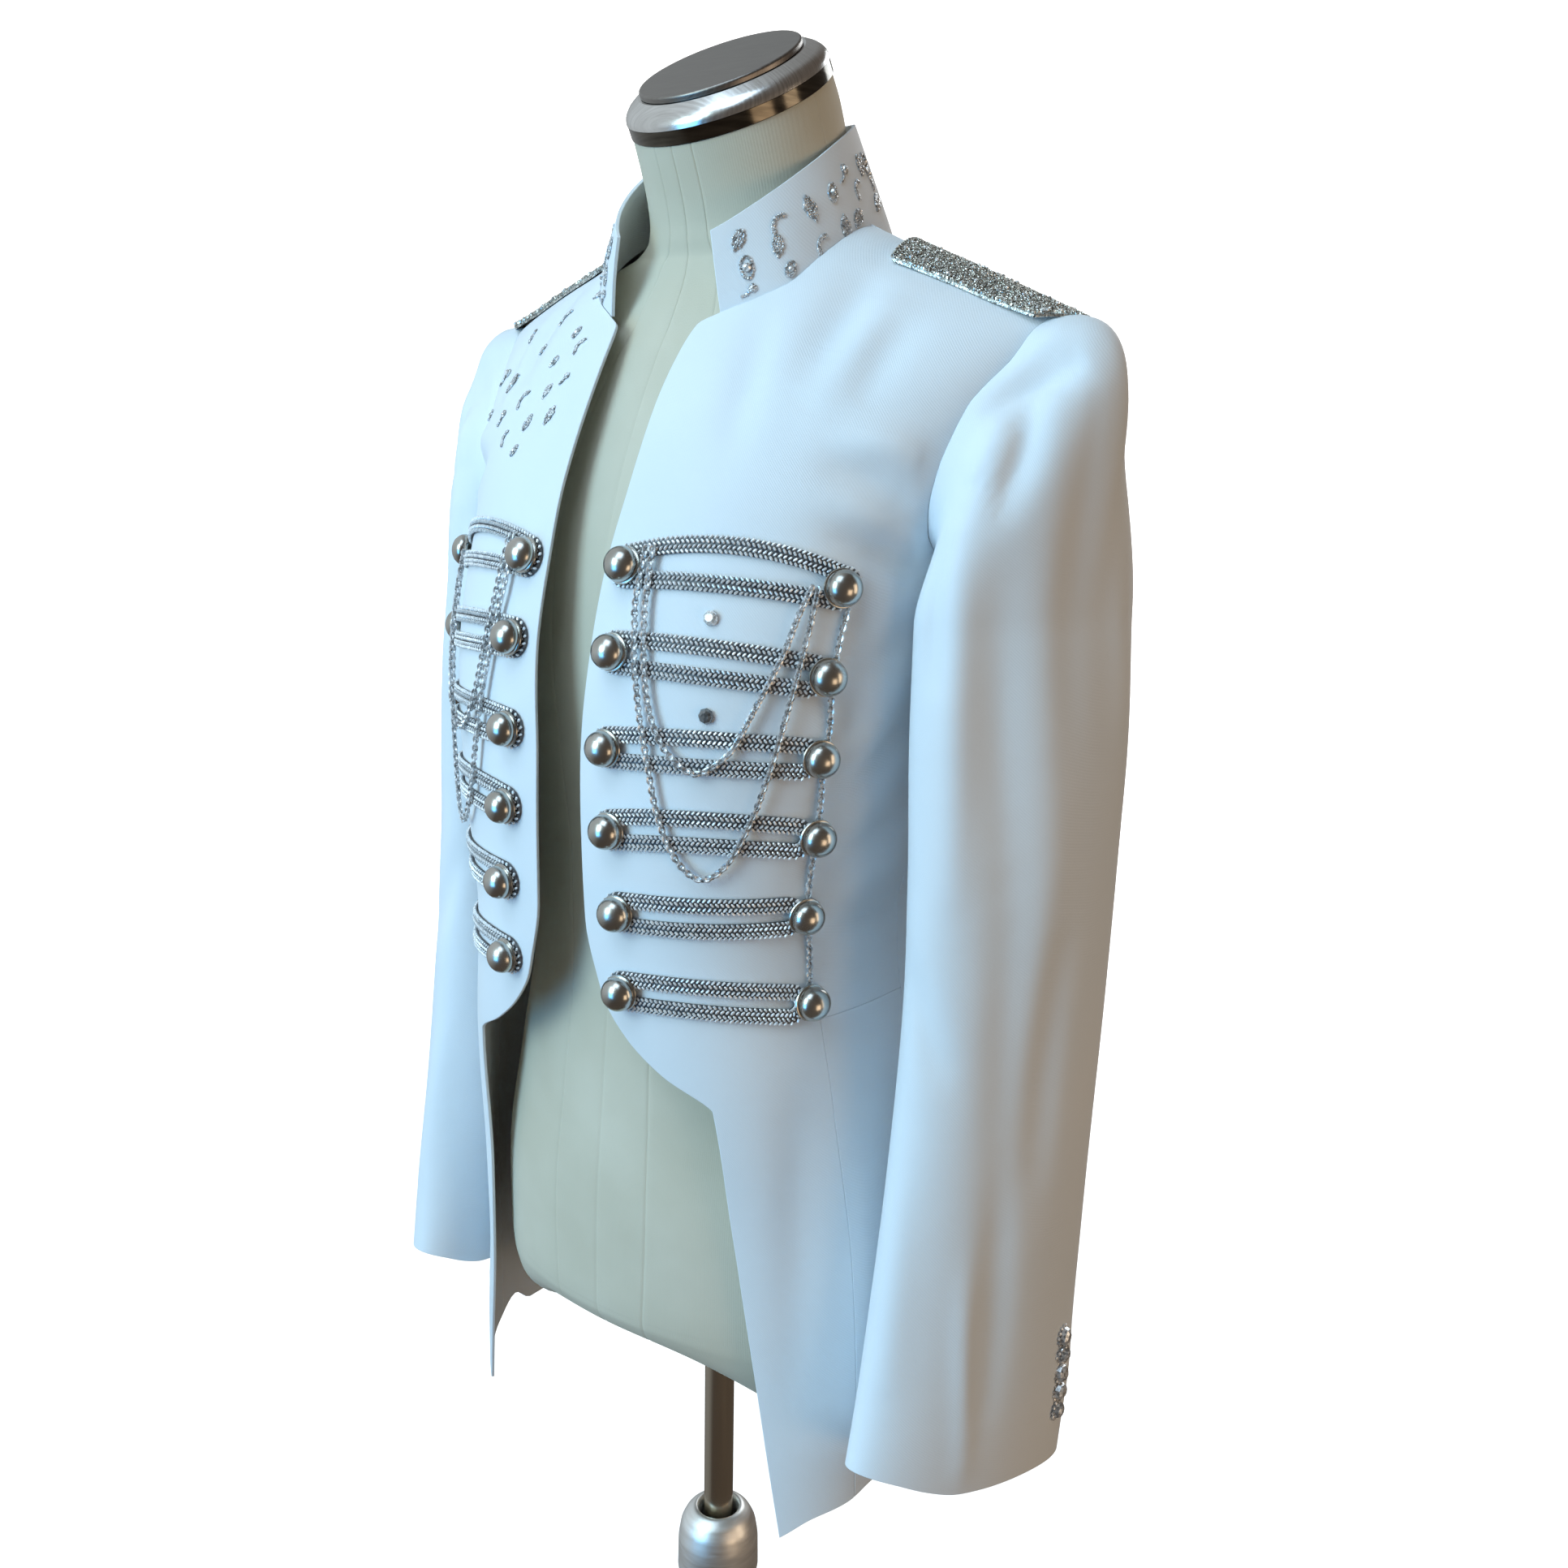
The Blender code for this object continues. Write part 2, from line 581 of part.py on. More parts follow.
def add_backs(look):
    """The two halves of the back, which meet at the seam down its middle."""
    turns, rises = [], []
    for rise in BACK_ROWS:
        start = back_armhole(rise) if rise > ARMPIT else 90
        end = back_turn_at(back_neck_out(rise), rise) if rise > BACK_NECK[0].rise else 180
        turns.append(turns_between(start, end, rise, BACK_COLUMNS))
        rises.append(np.full(BACK_COLUMNS + 1, rise))
    hem_turns = turns_between(90, 180, HEM[-1].height, BACK_COLUMNS)
    turns.append(hem_turns)
    rises.append(hem_height(hem_turns))
    turns, rises = np.array(turns), np.array(rises)
    outer = cloth(turns, rises)
    count = len(outer)
    neck = next(row for row, rise in enumerate(BACK_ROWS) if rise <= BACK_NECK[0].rise)
    moves = ease(outer, [0], range(BACK_COLUMNS + 1), (1, 0))
    moves += ease(outer, range(BACK_ROWS.index(ARMPIT), count), [0], (0, 1))
    moves += ease(outer, range(neck, count), [BACK_COLUMNS], (0, -1))
    inner = outer - WALL * cloth_normal(turns, rises)

    def build(name, mirror):
        add_wall(name, (outer + moves) * mirror, (inner + moves) * mirror, look)

    both_sides("back_{side}", build)


# Sleeves


def armhole_ring():
    """Points on the armhole, with the cloth's normal and the direction into the hole, by angle.

    The angle is seen from the side: 0 at the shoulder, 90 behind, 180 at the armpit, 270 in front.
    """
    rises = np.linspace(ARMPIT, TIP, FINE_LINE)
    front = np.stack([front_armhole(rises), rises], -1)
    back = np.stack([back_armhole(rises), rises], -1)[::-1]
    route = np.concatenate([front[:-1], back[:-1]])
    points = cloth(route[:, 0], route[:, 1])
    normals = cloth_normal(route[:, 0], route[:, 1])
    along = np.roll(points, -1, axis=0) - np.roll(points, 1, axis=0)
    inward = unit(np.cross(normals, along))
    y, z = ARMHOLE_CENTRE
    toward = np.stack([np.zeros(len(points)), y - points[:, 1], z - points[:, 2]], -1)
    inward *= np.sign((inward * toward).sum(-1, keepdims=True))
    angles = np.degrees(np.arctan2(points[:, 1] - y, points[:, 2] - z)) % 360
    order = np.argsort(angles)

    def at(angle):
        def read(values):
            columns = [np.interp(angle, angles[order], values[order, k], period=360) for k in range(3)]
            return np.stack(columns, -1)

        return read(points), unit(read(normals)), unit(read(inward))

    return at


def sleeve_ring(height, angles):
    columns = ("out", "back", "thin", "wide", "swing")
    out, back, thin, wide, swing = (
        curve_through(SLEEVE, "height", column)(height) for column in columns
    )
    across = thin * np.cos(np.radians(angles))
    along = wide * np.sin(np.radians(angles))
    c, s = cos(radians(swing)), sin(radians(swing))
    x, y = out + across * c + along * s, back - across * s + along * c
    slanting = np.clip((CUFF_START - height) / (CUFF_START - CUFF), 0, 1)
    return np.stack([x, y, height + slanting * (cuff_height(y) - CUFF)], -1)


def sleeve_head(angles):
    """Rows from the armhole over the sleeve's head to the biceps, each running round the arm."""
    edge, normal, inward = armhole_ring()(angles)
    turn = np.radians(angles)
    under = np.clip((-np.cos(turn) - UNDERARM_START) / UNDERARM_REACH, 0, 1)[:, None]
    start = edge + ARMHOLE_GAP * inward + UNDERARM_LIFT * under * normal
    end = sleeve_ring(BICEPS, angles)
    top = ((1 + np.cos(turn)) / 2)[:, None] ** HEAD_ROUNDING
    leave = np.array([1.0, 0, 0]) * (HEAD_FULLNESS[0] + (HEAD_FULLNESS[1] - HEAD_FULLNESS[0]) * top)
    leave = leave + np.array([0, 0, HEAD_RISE]) * top**4
    arrive = np.array([0, 0, -1.0]) * (HEAD_HANG[0] + (HEAD_HANG[1] - HEAD_HANG[0]) * top)
    rows = []
    for step in range(SLEEVE_HEAD_ROWS + 1):
        s = step / SLEEVE_HEAD_ROWS
        ends = (2 * s**3 - 3 * s**2 + 1) * start + (3 * s**2 - 2 * s**3) * end
        rows.append(ends + (s**3 - 2 * s**2 + s) * leave + (s**3 - s**2) * arrive)
    return rows


def tube_normals(grid):
    """Outward directions of a grid that runs round a tube, its rows from the top down."""
    down = np.gradient(grid, axis=0)
    around = np.roll(grid, -1, axis=1) - np.roll(grid, 1, axis=1)
    return unit(np.cross(down, around))


def add_sleeves(look):
    angles = np.arange(SLEEVE_COLUMNS) * 360 / SLEEVE_COLUMNS
    outer = np.array(sleeve_head(angles) + [sleeve_ring(height, angles) for height in SLEEVE_ROWS])
    normals = tube_normals(outer)
    turn = np.radians(angles)
    normals[0] = np.stack([np.zeros_like(turn), np.sin(turn), np.cos(turn)], -1)
    inner = outer - WALL * normals

    def build(name, mirror):
        add_wall(name, outer * mirror, inner * mirror, look, wrap=True)

    both_sides("sleeve_{side}", build)


# Collar and epaulettes


def even(points, count):
    """count + 1 points, evenly spaced along a line of points."""
    run = np.concatenate([[0], np.cumsum(np.linalg.norm(np.diff(points, axis=0), axis=1))])
    places = np.linspace(0, run[-1], count + 1)
    return np.stack([np.interp(places, run, points[:, k]) for k in range(3)], -1)


def neckline():
    """The neckline's left half, from the collar's front end to the middle of the back."""
    front_rises = np.array([rise for rise in FRONT_ROWS if rise >= NECK_CORNER])[::-1]
    back_rises = np.array([rise for rise in BACK_ROWS if BACK_NECK[0].rise <= rise < TIP])
    front_turns = turn_at(edge_out(front_rises), front_rises)
    back_turns = back_turn_at(back_neck_out(back_rises), back_rises)
    turns = np.concatenate([front_turns, back_turns])
    rises = np.concatenate([front_rises, back_rises])
    points = cloth(turns, rises)
    normals = cloth_normal(turns, rises)
    inward = unit(np.cross(np.gradient(points, axis=0), normals))
    inward[-1, 0] = 0
    inward *= np.where((inward * -points)[:, :2].sum(-1, keepdims=True) < 0, -1, 1)
    return points + NECK_GAP * inward - COLLAR_TUCK * normals


def collar_rim():
    """The left half of the collar's top edge, from its front end to the middle of the back."""
    turn = np.radians(np.linspace(COLLAR_START, 180, FINE_LINE))
    depth = np.where(np.cos(turn) > 0, COLLAR_FRONT, COLLAR_BACK)
    y = COLLAR_CENTRE - depth * np.cos(turn)
    return np.stack([COLLAR_HALF_WIDTH * np.sin(turn), y, collar_height(y)], -1)


def whole(half):
    """A left half and its mirror image as one line, from the right front end to the left one."""
    right = half[:-1] * np.array([-1, 1, 1])
    middle = half[-1:] * np.array([0, 1, 1])
    return np.concatenate([right, middle, half[:-1][::-1]])


def add_collar(look):
    base = neckline()
    rim = whole(even(collar_rim(), len(base) - 1))
    base = whole(base)
    outer = np.array([base, 0.5 * base + 0.5 * rim, rim])
    normals = unit(np.cross(np.gradient(outer, axis=0), np.gradient(outer, axis=1)))
    away = outer - np.array([0, COLLAR_CENTRE, 0])
    normals *= np.sign((normals[..., :2] * away[..., :2]).sum(-1, keepdims=True))
    outer[1] += COLLAR_BULGE * normals[1]
    add_wall("collar", outer, outer - COLLAR_WALL * normals, look)


def shoulder_top(x, y):
    """The height of the cloth over this place on the shoulder, found by halving."""
    high = np.where(y < RIDGE, ridge_front(x), ridge_back(x)) - 1e-6
    low = high - SHOULDER_SEARCH
    for _ in range(HALVINGS):
        middle = (low + high) / 2
        ridge = np.where(y < RIDGE, ridge_front(x), ridge_back(x))
        rise = LEVEL + (middle - LEVEL) / (ridge - LEVEL) * (TIP - LEVEL)
        turn = np.where(y < RIDGE, turn_at(x, rise), back_turn_at(x, rise))
        reach = cloth(turn, rise)[..., 1]
        inside = np.where(y < RIDGE, reach < y, reach > y)
        low, high = np.where(inside, middle, low), np.where(inside, high, middle)
    return (low + high) / 2


def epaulette_places():
    rows, columns = np.linspace(0, 1, EPAULETTE_ROWS), np.linspace(-1, 1, EPAULETTE_COLUMNS)
    return np.meshgrid(rows, columns, indexing="ij")


def add_epaulettes(look):
    along, across = epaulette_places()
    inner_end = EPAULETTE_INNER + EPAULETTE_SCALLOP * across**2
    outer_end = EPAULETTE_OUTER - EPAULETTE_SLANT * np.clip(-across, 0, 1)
    x = inner_end + (outer_end - inner_end) * along
    front = EPAULETTE_INNER_FRONT + (EPAULETTE_OUTER_FRONT - EPAULETTE_INNER_FRONT) * along
    back = EPAULETTE_INNER_BACK + (EPAULETTE_OUTER_BACK - EPAULETTE_INNER_BACK) * along
    y = RIDGE + np.where(across < 0, front, back) * across
    bent = np.minimum(x, EPAULETTE_STRAIGHT)
    fall = (ridge_front(EPAULETTE_STRAIGHT) - ridge_front(EPAULETTE_STRAIGHT - STEP)) / STEP
    z = shoulder_top(bent, y) + fall * (x - bent)
    under = np.stack([x, y, z + EPAULETTE_LIFT], -1)
    over = under + np.array([0, 0, EPAULETTE_THICKNESS])

    def build(name, mirror):
        add_wall(name, over * mirror, under * mirror, look)

    both_sides("epaulette_{side}", build)


# Trim on the fronts


def front_chart():
    """A function from girth and height to points on a front, raised by a lift."""
    heights = np.arange(*CHART_HEIGHTS)
    girths = np.arange(*CHART_GIRTHS)
    turns = np.linspace(*CHART_TURNS)
    table = []
    for height in heights:
        rise = np.full_like(turns, height)
        for _ in range(CHART_PASSES if height > LEVEL else 0):
            ridge = ridge_front(half_width(rise) * np.sin(np.radians(turns)) ** (2 / FRONT_POWER))
            rise = LEVEL + (height - LEVEL) / (ridge - LEVEL) * (TIP - LEVEL)
        points = cloth(turns, rise)
        steps = np.linalg.norm(np.diff(points, axis=0), axis=1)
        run = points[0, 0] + np.concatenate([[0], np.cumsum(steps)])
        table.append(np.stack([np.interp(girths, run, points[:, k]) for k in range(3)], -1))
    table = np.array(table)
    normals = unit(np.cross(np.gradient(table, axis=1), np.gradient(table, axis=0)))

    def read(values, girth, height):
        i = (height - heights[0]) / (heights[1] - heights[0])
        j = (girth - girths[0]) / (girths[1] - girths[0])
        row = np.clip(i.astype(int), 0, len(heights) - 2)
        column = np.clip(j.astype(int), 0, len(girths) - 2)
        a, b = (i - row)[:, None], (j - column)[:, None]
        lower = values[row, column] * (1 - b) + values[row, column + 1] * b
        upper = values[row + 1, column] * (1 - b) + values[row + 1, column + 1] * b
        return lower * (1 - a) + upper * a

    def at(places, lift=0.0):
        girth, height = np.asarray(places, float).T
        normal = unit(read(normals, girth, height))
        return read(table, girth, height) + np.asarray(lift) * normal, normal

    return at


def frog_route(frog, drop_girth):
    """The middle line of one braid loop, which closes on itself, as girth and height."""
    first = frog is FROGS[0]
    radius = LOOP_RADIUS
    if first:
        end = frog.outer
    else:
        end = drop_girth(frog.outer_height) - CHAIN_RADIUS - SEAM - BRAID_WIDTH / 2 - radius
    start = np.array([frog.inner, frog.inner_height])
    slope = (frog.outer_height - frog.inner_height) / (frog.outer - frog.inner)
    stop = np.array([end, frog.inner_height + slope * (end - frog.inner)])
    share = np.linspace(0, 1, RUN_STEPS + 1)[:, None]
    middle = start + (stop - start) * share
    bow = 4 * share * (1 - share)
    upper = middle + np.array([0, 1]) * (radius + frog.upper_bow * bow)
    lower = (middle + np.array([0, 1]) * (frog.lower_bow * bow - radius))[::-1]
    bend = np.radians(np.linspace(90, -90, BEND_STEPS + 2)[1:-1])[:, None]
    round_outer = stop + radius * np.concatenate([np.cos(bend), np.sin(bend)], 1)
    round_inner = start - radius * np.concatenate([np.cos(bend), np.sin(bend)], 1)
    return np.concatenate([upper, round_outer, lower, round_inner])


def add_frogs(chart, look):
    chain = np.array(DROP_CHAIN)[::-1]

    def drop_girth(height):
        return np.interp(height, chain[:, 1], chain[:, 0])

    for number, frog in enumerate(FROGS, 1):
        route = frog_route(frog, drop_girth)
        along = np.roll(route, -1, axis=0) - np.roll(route, 1, axis=0)
        sideways = unit(np.stack([-along[:, 1], along[:, 0]], -1)) * BRAID_WIDTH / 2
        low, high = BRAID_LIFT, BRAID_LIFT + BRAID_THICKNESS
        rails = [chart(route + sideways, low)[0], chart(route - sideways, low)[0]]
        inset = BRAID_TOP_SHARE * sideways
        rails += [chart(route - inset, high)[0], chart(route + inset, high)[0]]
        grid = np.stack(rails, 1)
        count = len(route)
        faces = []
        for row in range(count):
            after = (row + 1) % count
            for rail in range(4):
                beside = (rail + 1) % 4
                faces.append([row * 4 + rail, row * 4 + beside, after * 4 + beside, after * 4 + rail])
        points = grid.reshape(-1, 3)

        def build(name, mirror):
            add_mesh(name, points * mirror, faces, look)

        both_sides(f"braid_{{side}}_{number}", build)


def add_buttons(chart, look):
    turn = np.arange(BUTTON_SIDES) * 2 * np.pi / BUTTON_SIDES
    for place in ("inner", "outer"):
        for number, frog in enumerate(FROGS, 1):
            spot = [[getattr(frog, place), getattr(frog, place + "_height")]]
            seat, normal = (values[0] for values in chart(spot, BUTTON_LIFT))
            level = unit(np.cross([0, 0, 1], normal))
            up = np.cross(normal, level)
            circle = np.cos(turn)[:, None] * level + np.sin(turn)[:, None] * up
            rings = [seat + radius * circle + height * normal for radius, height in BUTTON]
            points = np.concatenate(rings + [(seat + BUTTON_TOP * normal)[None]])
            faces = [list(range(BUTTON_SIDES))]
            last = (len(BUTTON) - 1) * BUTTON_SIDES
            for side in range(BUTTON_SIDES):
                after = (side + 1) % BUTTON_SIDES
                for row in range(len(BUTTON) - 1):
                    low, high = row * BUTTON_SIDES, (row + 1) * BUTTON_SIDES
                    faces.append([low + side, low + after, high + after, high + side])
                faces.append([last + side, last + after, len(points) - 1])

            def build(name, mirror):
                add_mesh(name, points * mirror, faces, look)

            both_sides(f"button_{{side}}_{place}_{number}", build)


def smooth_route(points, step):
    """Points every step or so along the smooth curve through these places."""
    points = np.asarray(points, float)
    padded = np.concatenate([[2 * points[0] - points[1]], points, [2 * points[-1] - points[-2]]])
    s = np.linspace(0, 1, SPAN_STEPS, endpoint=False)[:, None]
    fine = []
    for a, b, c, d in zip(padded, padded[1:], padded[2:], padded[3:]):
        curve = (2 * a - 5 * b + 4 * c - d) * s**2 + (3 * b - a - 3 * c + d) * s**3
        fine.append((2 * b + (c - a) * s + curve) / 2)
    fine = np.concatenate(fine + [points[-1:]])
    run = np.concatenate([[0], np.cumsum(np.linalg.norm(np.diff(fine, axis=0), axis=1))])
    places = np.linspace(0, run[-1], round(run[-1] / step) + 1)
    return np.stack([np.interp(places, run, fine[:, k]) for k in range(2)], -1)


def add_chain(name, points, look):
    curve = bpy.data.curves.new(name, "CURVE")
    curve.dimensions = "3D"
    curve.bevel_depth = CHAIN_RADIUS
    curve.bevel_resolution = 2
    curve.use_fill_caps = True
    spline = curve.splines.new("POLY")
    spline.points.add(len(points) - 1)
    for knot, point in zip(spline.points, points):
        knot.co = (*point, 1)
    curve.materials.append(look)
    bpy.context.scene.collection.objects.link(bpy.data.objects.new(name, curve))


def add_chains(chart, look):
    for name, places, lift in (
        ("swag_{side}_short", SHORT_SWAG, SWAG_LIFT),
        ("swag_{side}_long", LONG_SWAG, SWAG_LIFT),
        ("drop_chain_{side}", DROP_CHAIN, DROP_LIFT),
    ):
        points = chart(smooth_route(places, CHAIN_STEP), lift)[0]

        def build(name, mirror):
            add_chain(name, points * mirror, look)

        both_sides(name, build)


# Dress form and stand


def form_ring(ring, turns):
    c, s = np.cos(turns), np.sin(turns)
    x = ring.half_width * np.sign(s) * np.abs(s) ** (2 / ring.power)
    depth = np.where(c > 0, ring.front_depth, ring.back_depth)
    y = -depth * np.sign(c) * np.abs(c) ** (2 / ring.power)
    lean = radians(ring.tilt)
    return np.stack([x, ring.back + y * cos(lean), ring.height + y * sin(lean)], -1)


def underside(turns):
    """The rows below the lowest ring, from the flat place over the pole outwards."""
    brim = form_ring(FORM[0], turns)
    rows = []
    for size, hang in UNDERSIDE:
        row = np.array([0, FORM[0].back * size**2, 0]) + (brim - [0, FORM[0].back, 0]) * [size, size, 1]
        aside = np.clip(np.abs(row[:, 0]) / LOBE_PLACE, 0, 1)
        lobe = CROTCH + (1 - CROTCH) * aside**3 if rows else CROTCH
        row[:, 2] -= UNDERSIDE_DEPTH * hang * lobe
        rows.append(row)
    return rows


def add_form(look):
    turns = np.arange(FORM_COLUMNS) * 2 * np.pi / FORM_COLUMNS
    add_loft("form_torso", underside(turns) + [form_ring(ring, turns) for ring in FORM], look)


def turned(profile, sides, axis=(0.0, 0.0, 1.0), centre=(0.0, 0.0, 0.0)):
    """Rings of points round an axis through centre, for a profile of radius and distance along it."""
    axis = np.array(axis, float)
    across = np.array([1.0, 0, 0])
    beside = np.cross(axis, across)
    turn = np.arange(sides) * 2 * np.pi / sides
    circle = np.cos(turn)[:, None] * across + np.sin(turn)[:, None] * beside
    return [np.array(centre) + distance * axis + radius * circle for radius, distance in profile]


def add_neck_top(plate_look, cap_look, band_look):
    lean = radians(CAP_TILT)
    down = (0.0, sin(lean), -cos(lean))
    for name, profile, look in (
        ("neck_plate", PLATE_PROFILE, plate_look),
        ("neck_cap", CAP_PROFILE, cap_look),
        ("neck_band", BAND_PROFILE, band_look),
    ):
        add_loft(name, turned(profile, CAP_SIDES, down, CAP_PLATE), look)


def add_stand(pole_look, hub_look, base_look):
    top = FORM[0].height - UNDERSIDE_DEPTH * CROTCH - SEAM
    pole = ((POLE_RADIUS, POLE_BOTTOM), (POLE_RADIUS, top))
    add_loft("stand_pole", turned(pole, STAND_SIDES // 2), pole_look)
    add_loft("stand_hub", turned(HUB_PROFILE, STAND_SIDES // 2), hub_look)
    add_loft("stand_base", turned(BASE_PROFILE, STAND_SIDES), base_look)


def main():
    for old in list(bpy.data.objects):
        bpy.data.objects.remove(old)
    white = material("white_suiting", (0.78, 0.86, 0.93), 0.75)
    braid = material("silver_braid", (0.55, 0.57, 0.60), 0.35, 0.8)
    glitter = material("glitter", (0.60, 0.60, 0.62), 0.30, 0.8)
    pewter = material("pewter", (0.42, 0.41, 0.39), 0.30, 1.0)
    chain = material("chain_steel", (0.50, 0.51, 0.53), 0.30, 1.0)
    linen = material("form_linen", (0.62, 0.60, 0.48), 0.80)
    plate = material("brushed_bronze", (0.30, 0.27, 0.24), 0.35, 1.0)
    satin = material("satin_silver", (0.60, 0.59, 0.57), 0.25, 1.0)
    dark = material("dark_chrome", (0.10, 0.09, 0.08), 0.20, 1.0)
    steel = material("brushed_steel", (0.35, 0.31, 0.27), 0.30, 1.0)
    chart = front_chart()
    add_fronts(white)
    add_skirts(white)
    add_backs(white)
    add_sleeves(white)
    add_collar(white)
    add_epaulettes(glitter)
    add_frogs(chart, braid)
    add_buttons(chart, pewter)
    add_chains(chart, chain)
    add_form(linen)
    add_neck_top(plate, satin, dark)
    add_stand(steel, dark, dark)


main()
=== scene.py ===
"""Looks of the military-style blazer on its dress form: cloth, trim, stones, metals, light and camera.

Metres, +Z up. The wearer faces -Y and the wearer's left is +X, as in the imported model.
"""

from collections import namedtuple
from math import cos, radians, sin

import bmesh
import bpy
import numpy as np
from mathutils import Matrix, Vector


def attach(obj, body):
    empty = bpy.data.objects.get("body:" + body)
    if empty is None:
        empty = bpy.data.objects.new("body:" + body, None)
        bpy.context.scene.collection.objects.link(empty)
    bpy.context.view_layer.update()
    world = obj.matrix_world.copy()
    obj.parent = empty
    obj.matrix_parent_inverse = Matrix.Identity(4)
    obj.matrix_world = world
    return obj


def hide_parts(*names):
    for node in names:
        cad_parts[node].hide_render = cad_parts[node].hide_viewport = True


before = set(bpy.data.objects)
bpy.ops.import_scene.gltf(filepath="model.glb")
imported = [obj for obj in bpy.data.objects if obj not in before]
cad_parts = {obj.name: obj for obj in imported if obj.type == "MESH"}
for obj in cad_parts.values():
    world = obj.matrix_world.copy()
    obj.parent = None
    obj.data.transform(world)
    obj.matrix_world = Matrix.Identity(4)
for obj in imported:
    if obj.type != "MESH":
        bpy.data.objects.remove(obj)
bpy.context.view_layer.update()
chance = np.random.default_rng(7)


def finer(rows, parts):
    """The same rows, with parts - 1 more between each two."""
    rows = np.array(rows, float)
    steps = np.linspace(0, 1, parts, endpoint=False)
    between = rows[:-1, None] + np.diff(rows)[:, None] * steps
    return np.append(between.ravel(), rows[-1])


def table(columns, *rows):
    """These rows, each as a tuple whose columns have names."""
    row_type = namedtuple("Row", columns)
    return [row_type(*row) for row in rows]


# Cloth
WALL = 0.002
SEAM = 0.0003
EASE = 0.00004
ARMHOLE_GAP = -0.0004
NECK_GAP = 0.0001

# Trim
BRAID_WIDTH = 0.0076
BRAID_THICKNESS = 0.0024
LOOP_RADIUS = 0.0068
CHAIN_RADIUS = 0.0013
BRAID_LIFT = 0.0006
SWAG_LIFT = BRAID_LIFT + BRAID_THICKNESS + SEAM + CHAIN_RADIUS
DROP_LIFT = BRAID_LIFT + CHAIN_RADIUS
BUTTON_LIFT = 0.0035
EPAULETTE_LIFT = 0.0008
EPAULETTE_THICKNESS = 0.0038

# Where the jacket's surface changes: its shoulders start above LEVEL, and the armpit is a little higher.
LEVEL = 1.20
TIP = 1.375
ARMPIT = 1.235
WAIST_SEAM = 0.997
DART_TURN = 68.5
DART_SHARE = 0.70
RIDGE = 0.030
FRONT_DROP = 0.27
FRONT_ROUND = 0.65
BACK_DROP = 0.16
BACK_ROUND = 0.60
FRONT_POWER = 2.9
BACK_POWER = 2.4

# A short step for slopes, and how finely curves are walked before they are divided.
STEP = 0.001
FINE_TURNS = 160
FINE_LINE = 60

TRUNK = table(
    "height half_width front back",
    (0.660, 0.158, 0.113, 0.122),
    (0.750, 0.156, 0.113, 0.124),
    (0.850, 0.151, 0.118, 0.122),
    (0.950, 0.140, 0.131, 0.108),
    (1.030, 0.128, 0.137, 0.094),
    (1.100, 0.137, 0.1385, 0.102),
    (1.190, 0.148, 0.1355, 0.113),
    (1.235, 0.152, 0.132, 0.116),
    (1.280, 0.1675, 0.130, 0.116),
    (1.325, 0.180, 0.131, 0.116),
    (1.360, 0.193, 0.132, 0.116),
    (1.375, 0.205, 0.132, 0.116),
)

# Height of the shoulders' ridge by distance from the middle, as the fronts and the backs run into it.
SHOULDERS = table(
    "out front back",
    (0.000, 1.424, 1.445),
    (0.040, 1.420, 1.432),
    (0.075, 1.4125, 1.4135),
    (0.108, 1.3995, 1.3995),
    (0.150, 1.383, 1.383),
    (0.190, 1.366, 1.366),
    (0.220, 1.351, 1.351),
)

# The fronts' inner outline: neckline, rounded corner, opening, cutaway, and the edge of the tail.
FRONT_EDGE = table(
    "rise out",
    (0.686, 0.1217),
    (0.786, 0.1079),
    (0.872, 0.0981),
    (0.9494, 0.0912),
    (0.9521, 0.0890),
    (0.9665, 0.0643),
    (0.9836, 0.0436),
    (1.0017, 0.0304),
    (1.0143, 0.0261),
    (1.047, 0.0184),
    (1.091, 0.0171),
    (1.129, 0.0165),
    (1.193, 0.0200),
    (1.2266, 0.0212),
    (1.260, 0.0240),
    (1.2925, 0.0246),
    (1.315, 0.0267),
    (1.3245, 0.0292),
    (1.330, 0.0395),
    (1.3375, 0.0555),
    (1.348, 0.0700),
    (1.358, 0.0735),
    (1.368, 0.0755),
    (1.375, 0.0750),
)
NECK_CORNER = 1.330
CUTAWAY_CORNER = 0.9494
TAIL_TIP = 0.686
BACK_NECK = table(
    "rise out",
    (1.3450, 0.000),
    (1.3460, 0.026),
    (1.3490, 0.047),
    (1.3550, 0.064),
    (1.3650, 0.074),
    (1.3750, 0.075),
)

ARMHOLE = table(
    "rise front_turn back_turn",
    (1.2350, 90.0, 90.0),
    (1.2525, 80.0, 97.0),
    (1.2770, 72.5, 104.0),
    (1.2930, 70.8, 106.5),
    (1.3185, 70.4, 106.0),
    (1.3280, 71.7, 105.5),
    (1.3470, 75.5, 104.5),
    (1.3750, 67.5, 109.7),
)

HEM = table(
    "turn height",
    (43.5, 0.686),
    (54.0, 0.698),
    (67.0, 0.705),
    (77.0, 0.713),
    (84.0, 0.702),
    (92.0, 0.702),
    (106.0, 0.704),
    (180.0, 0.706),
)

